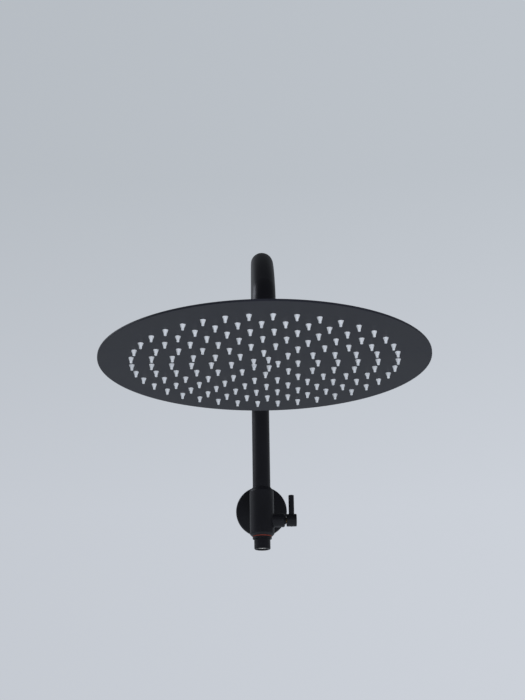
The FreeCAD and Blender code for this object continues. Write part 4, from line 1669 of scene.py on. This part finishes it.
# ---------------------------------------------------------------- diverter
@dataclass
class Diverter:
    """Cartridge, bonnet, knob and pin lever."""

    thread_r: float = 7.0
    sleeve_end: float = 16.0
    boss_end: float = 28.2
    collar_r: float = 5.0
    collar: float = 1.7
    stem_r: float = 3.0
    fit: float = 0.05
    gap: float = 0.4
    knob_r: float = 7.75
    knob_length: float = 12.5
    knob_floor: float = 2.8
    lever_r: float = 3.4
    shank_r: float = 2.0
    lever_top: float = 31.5
    foot_top: float = 6.6
    grub_r: float = 1.5

    @property
    def knob_start(self) -> float:
        """Where the knob starts, from the column axis."""
        return self.boss_end + self.collar + self.gap

    @property
    def middle(self) -> Vector:
        """Where the lever's axis meets the diverter's."""
        return DIVERTER_AXIS + Vector((self.knob_start + self.knob_length / 2, 0, 0))

    def bonnet(self, finish: bpy.types.Material) -> None:
        """Turns the bonnet nut.

        Args:
            finish: the material it gets.
        """
        bore = self.stem_r + self.fit
        end = self.boss_end + self.collar
        outline = [
            Corner(bore, self.sleeve_end),
            Corner(self.thread_r, self.sleeve_end, 0.3),
            Corner(self.thread_r, self.boss_end, 0.35),
            Corner(self.collar_r, self.boss_end, 0.2),
            Corner(self.collar_r, end, 0.4),
            Corner(bore, end, 0.15),
        ]
        shape = Turning(outline, DIVERTER_AXIS, Axis.RIGHT, segments=80)
        turned("bonnet", shape, finish, Body.COLUMN, Slot.BODY, "bonnet_nut")

    def knob(self, finish: bpy.types.Material) -> None:
        """Turns the knob and drills it for the pin and the grub screw.

        Args:
            finish: the material it gets.
        """
        bore = self.stem_r + self.fit
        end = self.knob_start + self.knob_length
        outline = [
            Corner(bore, self.knob_start, 0.15),
            Corner(self.knob_r, self.knob_start, 0.75),
            Corner(self.knob_r, end, 0.9),
            Corner(0, end),
            Corner(0, end - self.knob_floor),
            Corner(bore, end - self.knob_floor),
        ]
        shape = Turning(outline, DIVERTER_AXIS, Axis.RIGHT, segments=96, steps=5)
        piece = new_object("knob", mesh_of("knob", shape))
        pin_hole = [Corner(0, 2), Corner(self.shank_r, 2), Corner(self.shank_r, 9), Corner(0, 9)]
        screw_hole = [
            Corner(0, -9),
            Corner(self.grub_r, -9),
            Corner(self.grub_r, -2),
            Corner(0, -2),
        ]
        tools = [Turning(hole, self.middle, segments=32) for hole in (pin_hole, screw_hole)]
        drilled(piece, tools)
        settled(piece, finish, Body.LEVER, Slot.BODY, "diverter_knob")

    def lever(self, finish: bpy.types.Material) -> None:
        """Turns the pin lever, its foot shaped to sit on the round knob.

        Args:
            finish: the material it gets.
        """
        shank = self.shank_r - self.fit
        outline = [
            Corner(0, self.stem_r + self.fit),
            Corner(shank, self.stem_r + self.fit, 0.2),
            Corner(shank, self.foot_top),
            Corner(self.lever_r, self.foot_top),
            Corner(self.lever_r, self.lever_top, 0.7),
            Corner(0, self.lever_top),
        ]
        middle = self.middle
        shape = Turning(outline, middle, segments=56, steps=4, longest=4.0)
        build = bmesh.new()
        shape.fill(build)
        # The foot's rim rises over the knob's round back.
        for vert in build.verts:
            height = vert.co.z / MM - middle.z
            side = vert.co.y / MM - middle.y
            across = math.hypot(vert.co.x / MM - middle.x, side)
            if self.foot_top - 0.6 < height < self.knob_r and across > shank + 0.1:
                seat = math.sqrt(self.knob_r**2 - min(side**2, self.knob_r**2))
                vert.co.z = (middle.z + seat) * MM
        piece = new_object("pin_lever", mesh_from("pin_lever", build))
        settled(piece, finish, Body.LEVER, Slot.BODY, "lever_pin")

    def build(self, finishes: Finishes) -> None:
        """Makes and dresses every piece of the diverter.

        Args:
            finishes: every finish of the object.
        """
        self.bonnet(finishes.cast)
        self.knob(finishes.cast)
        self.lever(finishes.tube)
        dressed(finishes.brass_across, Slot.BRASS, "diverter_sleeve", "diverter_spool")
        dressed(finishes.rubber, Slot.RUBBER, "sleeve_orings", "spool_orings")
        dressed(finishes.oxide, Slot.DARK_STEEL, "knob_grub_screw")


# ---------------------------------------------------------------- hose outlet
@dataclass
class HoseOutlet:
    """Nipple for a shower hose, with a check valve inside."""

    thread: PipeThread
    shank_r: float = 9.0
    shank_top: float = -36.0
    collar_r: float = 11.8
    collar_top: float = -45.0
    thread_top: float = -47.5
    end: float = -60.0
    bore_r: float = 4.0
    pocket_r: float = 7.45
    pocket_top: float = -45.95

    def build(self, finishes: Finishes) -> None:
        """Turns the nipple and winds its thread.

        Args:
            finishes: every finish of the object.
        """
        core = self.thread.crest_r - self.thread.depth
        outline = [
            Corner(self.bore_r, self.shank_top),
            Corner(self.shank_r, self.shank_top, 0.3),
            Corner(self.shank_r, self.collar_top),
            Corner(self.collar_r, self.collar_top, 0.3),
            Corner(self.collar_r, self.thread_top, 0.4),
            Corner(core, self.thread_top),
            Corner(core, self.end, 0.5),
            Corner(self.pocket_r, self.end, 0.2),
            Corner(self.pocket_r, self.pocket_top),
            Corner(self.bore_r, self.pocket_top),
        ]
        shape = Turning(outline, COLUMN_AXIS, segments=96, steps=3)
        body = mesh_of("nipple", shape)
        foot = COLUMN_AXIS + Vector((0, 0, self.end))
        ridge = self.thread.ridge(foot, Axis.UP, self.thread_top - self.end, finishes.cast)
        piece = new_object("threaded_nipple", joined("threaded_nipple", [body, ridge]))
        settled(piece, finishes.cast, Body.COLUMN, Slot.BODY, "hose_outlet")
        dressed(finishes.fibre, Slot.FIBRE, "outlet_washer")
        dressed(finishes.acetal, Slot.ACETAL, "check_valve_cage", "check_valve_poppet")
        dressed(finishes.stainless, Slot.STAINLESS, "check_valve_spring")


# ---------------------------------------------------------------- studio
@dataclass(frozen=True)
class Lamp:
    """One soft square light that the camera doesn't see.

    size is its side, spread the full angle of its beam in degrees, and mirrored says
    whether glossy surfaces show it.
    """

    name: str
    place: tuple[float, float, float]
    target: tuple[float, float, float]
    size: float
    power: float
    colour: str = "#ffffff"
    mirrored: bool = False
    spread: float = 180.0

    def build(self) -> None:
        """Hangs the light."""
        data = bpy.data.lights.new(self.name, "AREA")
        data.shape = "SQUARE"
        data.size = self.size
        data.energy = self.power
        data.spread = math.radians(self.spread)
        data.color = linear(self.colour)[:3]
        lamp = bpy.data.objects.new(self.name, data)
        place = Vector(self.place)
        turn = (Vector(self.target) - place).to_track_quat("-Z", "Y").to_matrix().to_4x4()
        lamp.matrix_world = Matrix.Translation(place) @ turn
        lamp.visible_camera = False
        lamp.visible_glossy = self.mirrored
        bpy.context.scene.collection.objects.link(lamp)


LAMPS = (
    Lamp("ceiling_light", (0, 0.4, 4.5), (0, 0.2, 0), 4.0, 45.0),
    Lamp(
        "side_light", (-2.6, 0.7, 1.9), (0, -0.3, 0.1), 1.2, 22.0, "#eef3ff", mirrored=True
    ),
    Lamp("low_light", (0.3, -2.8, -0.6), (0, -0.55, 0), 1.2, 5.0, "#f3f5ff", spread=70.0),
)


@dataclass
class Studio:
    """Pale floor, soft light and the camera."""

    floor_z: float = -1.4
    floor_size: float = 120.0
    camera_place: tuple[float, float, float] = (-0.0147, -1.6964, -0.3800)
    camera_right: tuple[float, float, float] = (0.99988, -0.0063, -0.014)
    camera_up: tuple[float, float, float] = (0.0111, -0.3337, 0.9426)
    lens: float = 69.2
    room_light: float = 0.8
    wall_side: float = 0.6
    room_side: float = 0.26
    overhead: float = 0.14

    def camera(self) -> None:
        """Sets the camera."""
        data = bpy.data.cameras.new("camera")
        data.lens = self.lens
        data.sensor_width = 36.0
        data.clip_start = 0.02
        data.clip_end = 100.0
        camera = bpy.data.objects.new("camera", data)
        right = Vector(self.camera_right).normalized()
        back = right.cross(Vector(self.camera_up)).normalized()
        up = back.cross(right)
        turn = Matrix((right, up, back)).transposed()
        camera.matrix_world = Matrix.Translation(Vector(self.camera_place)) @ turn.to_4x4()
        bpy.context.scene.collection.objects.link(camera)
        bpy.context.scene.camera = camera

    def floor(self) -> None:
        """Lays the floor, in a matt painted finish."""
        half = self.floor_size / 2
        corners = [(-half, -half), (half, -half), (half, half), (-half, half)]
        mesh = bpy.data.meshes.new("floor")
        mesh.from_pydata([(x, y, self.floor_z) for x, y in corners], [], [(0, 1, 2, 3)])
        shader = Shader("matt_pale_floor_paint")
        cloud = shader.ranged(shader.grain(400.0, 2.0), 0.0, 1.0)
        shader.dress(
            Base_Color=shader.blend(cloud, "#e2e5e8", "#e8eaed"),
            Roughness=0.9,
            Specular_IOR_Level=0.2,
        )
        mesh.materials.append(shader.material)
        new_object("floor", mesh)

    def world(self) -> None:
        """Paints the room: a pale wall with painted shade, darker towards the top and the left,
        even light, and reflections of the wall's side.
        """
        world = bpy.data.worlds.new("room")
        world.use_nodes = True
        bpy.context.scene.world = world
        tree = world.node_tree
        tree.nodes.clear()
        way = add_node(tree, "ShaderNodeTexCoord").outputs["Generated"]
        part = add_node(tree, "ShaderNodeSeparateXYZ", {0: way}).outputs
        # Painted shade: the backdrop's colour darkens towards the top.
        rise = add_node(
            tree, "ShaderNodeMapRange", {0: part["Z"], 1: 0.22, 2: 0.45, 3: 0.0, 4: 1.0}
        )
        wall = add_node(
            tree,
            "ShaderNodeMix",
            {0: rise.outputs[0], 6: linear("#ccd1d9"), 7: linear("#bdc3ca")},
            data_type="RGBA",
        )
        # Painted shade: the backdrop is seen a little darker towards the left.
        across = add_node(
            tree, "ShaderNodeMapRange", {0: part["X"], 1: -0.19, 2: 0.19, 3: 0.93, 4: 1.0}
        )
        into = add_node(
            tree,
            "ShaderNodeMapRange",
            {0: part["Y"], 1: -0.3, 2: 0.5, 3: self.room_side, 4: self.wall_side},
        )
        backdrop_with_painted_shade = add_node(tree, "ShaderNodeBackground", {0: wall.outputs[2], 1: across.outputs[0]})
        above = add_node(
            tree, "ShaderNodeMapRange", {0: part["Z"], 1: 0.4, 2: 0.7, 3: 1.0, 4: self.overhead}
        )
        glow = add_node(
            tree,
            "ShaderNodeMath",
            {0: into.outputs[0], 1: above.outputs[0]},
            operation="MULTIPLY",
        )
        felt = add_node(tree, "ShaderNodeBackground", {0: wall.outputs[2], 1: glow.outputs[0]})
        even = add_node(tree, "ShaderNodeBackground", {0: wall.outputs[2], 1: self.room_light})
        path = add_node(tree, "ShaderNodeLightPath").outputs
        lit = add_node(
            tree,
            "ShaderNodeMixShader",
            {0: path["Is Glossy Ray"], 1: even.outputs[0], 2: felt.outputs[0]},
        )
        mixed = add_node(
            tree,
            "ShaderNodeMixShader",
            {0: path["Is Camera Ray"], 1: lit.outputs[0], 2: backdrop_with_painted_shade.outputs[0]},
        )
        add_node(tree, "ShaderNodeOutputWorld", {0: mixed.outputs[0]})

    def build(self) -> None:
        """Sets the studio."""
        view = bpy.context.scene.view_settings
        view.view_transform = "Standard"
        view.look = "None"
        self.camera()
        self.floor()
        self.world()
        for lamp in LAMPS:
            lamp.build()


def main() -> None:
    """Builds the studio and the object, piece by piece."""
    logging.basicConfig(level=logging.INFO, format="%(name)s: %(message)s")
    Studio().build()
    finishes = Finishes()
    Gooseneck().build(finishes.tube)
    RainHead(NozzlePattern()).build(finishes)
    BallJoint().build(finishes)
    WallFitting(PipeThread()).build(finishes)
    ValveBody().build(finishes)
    Diverter().build(finishes)
    HoseOutlet(PipeThread()).build(finishes)


if __name__ == "__main__":
    main()
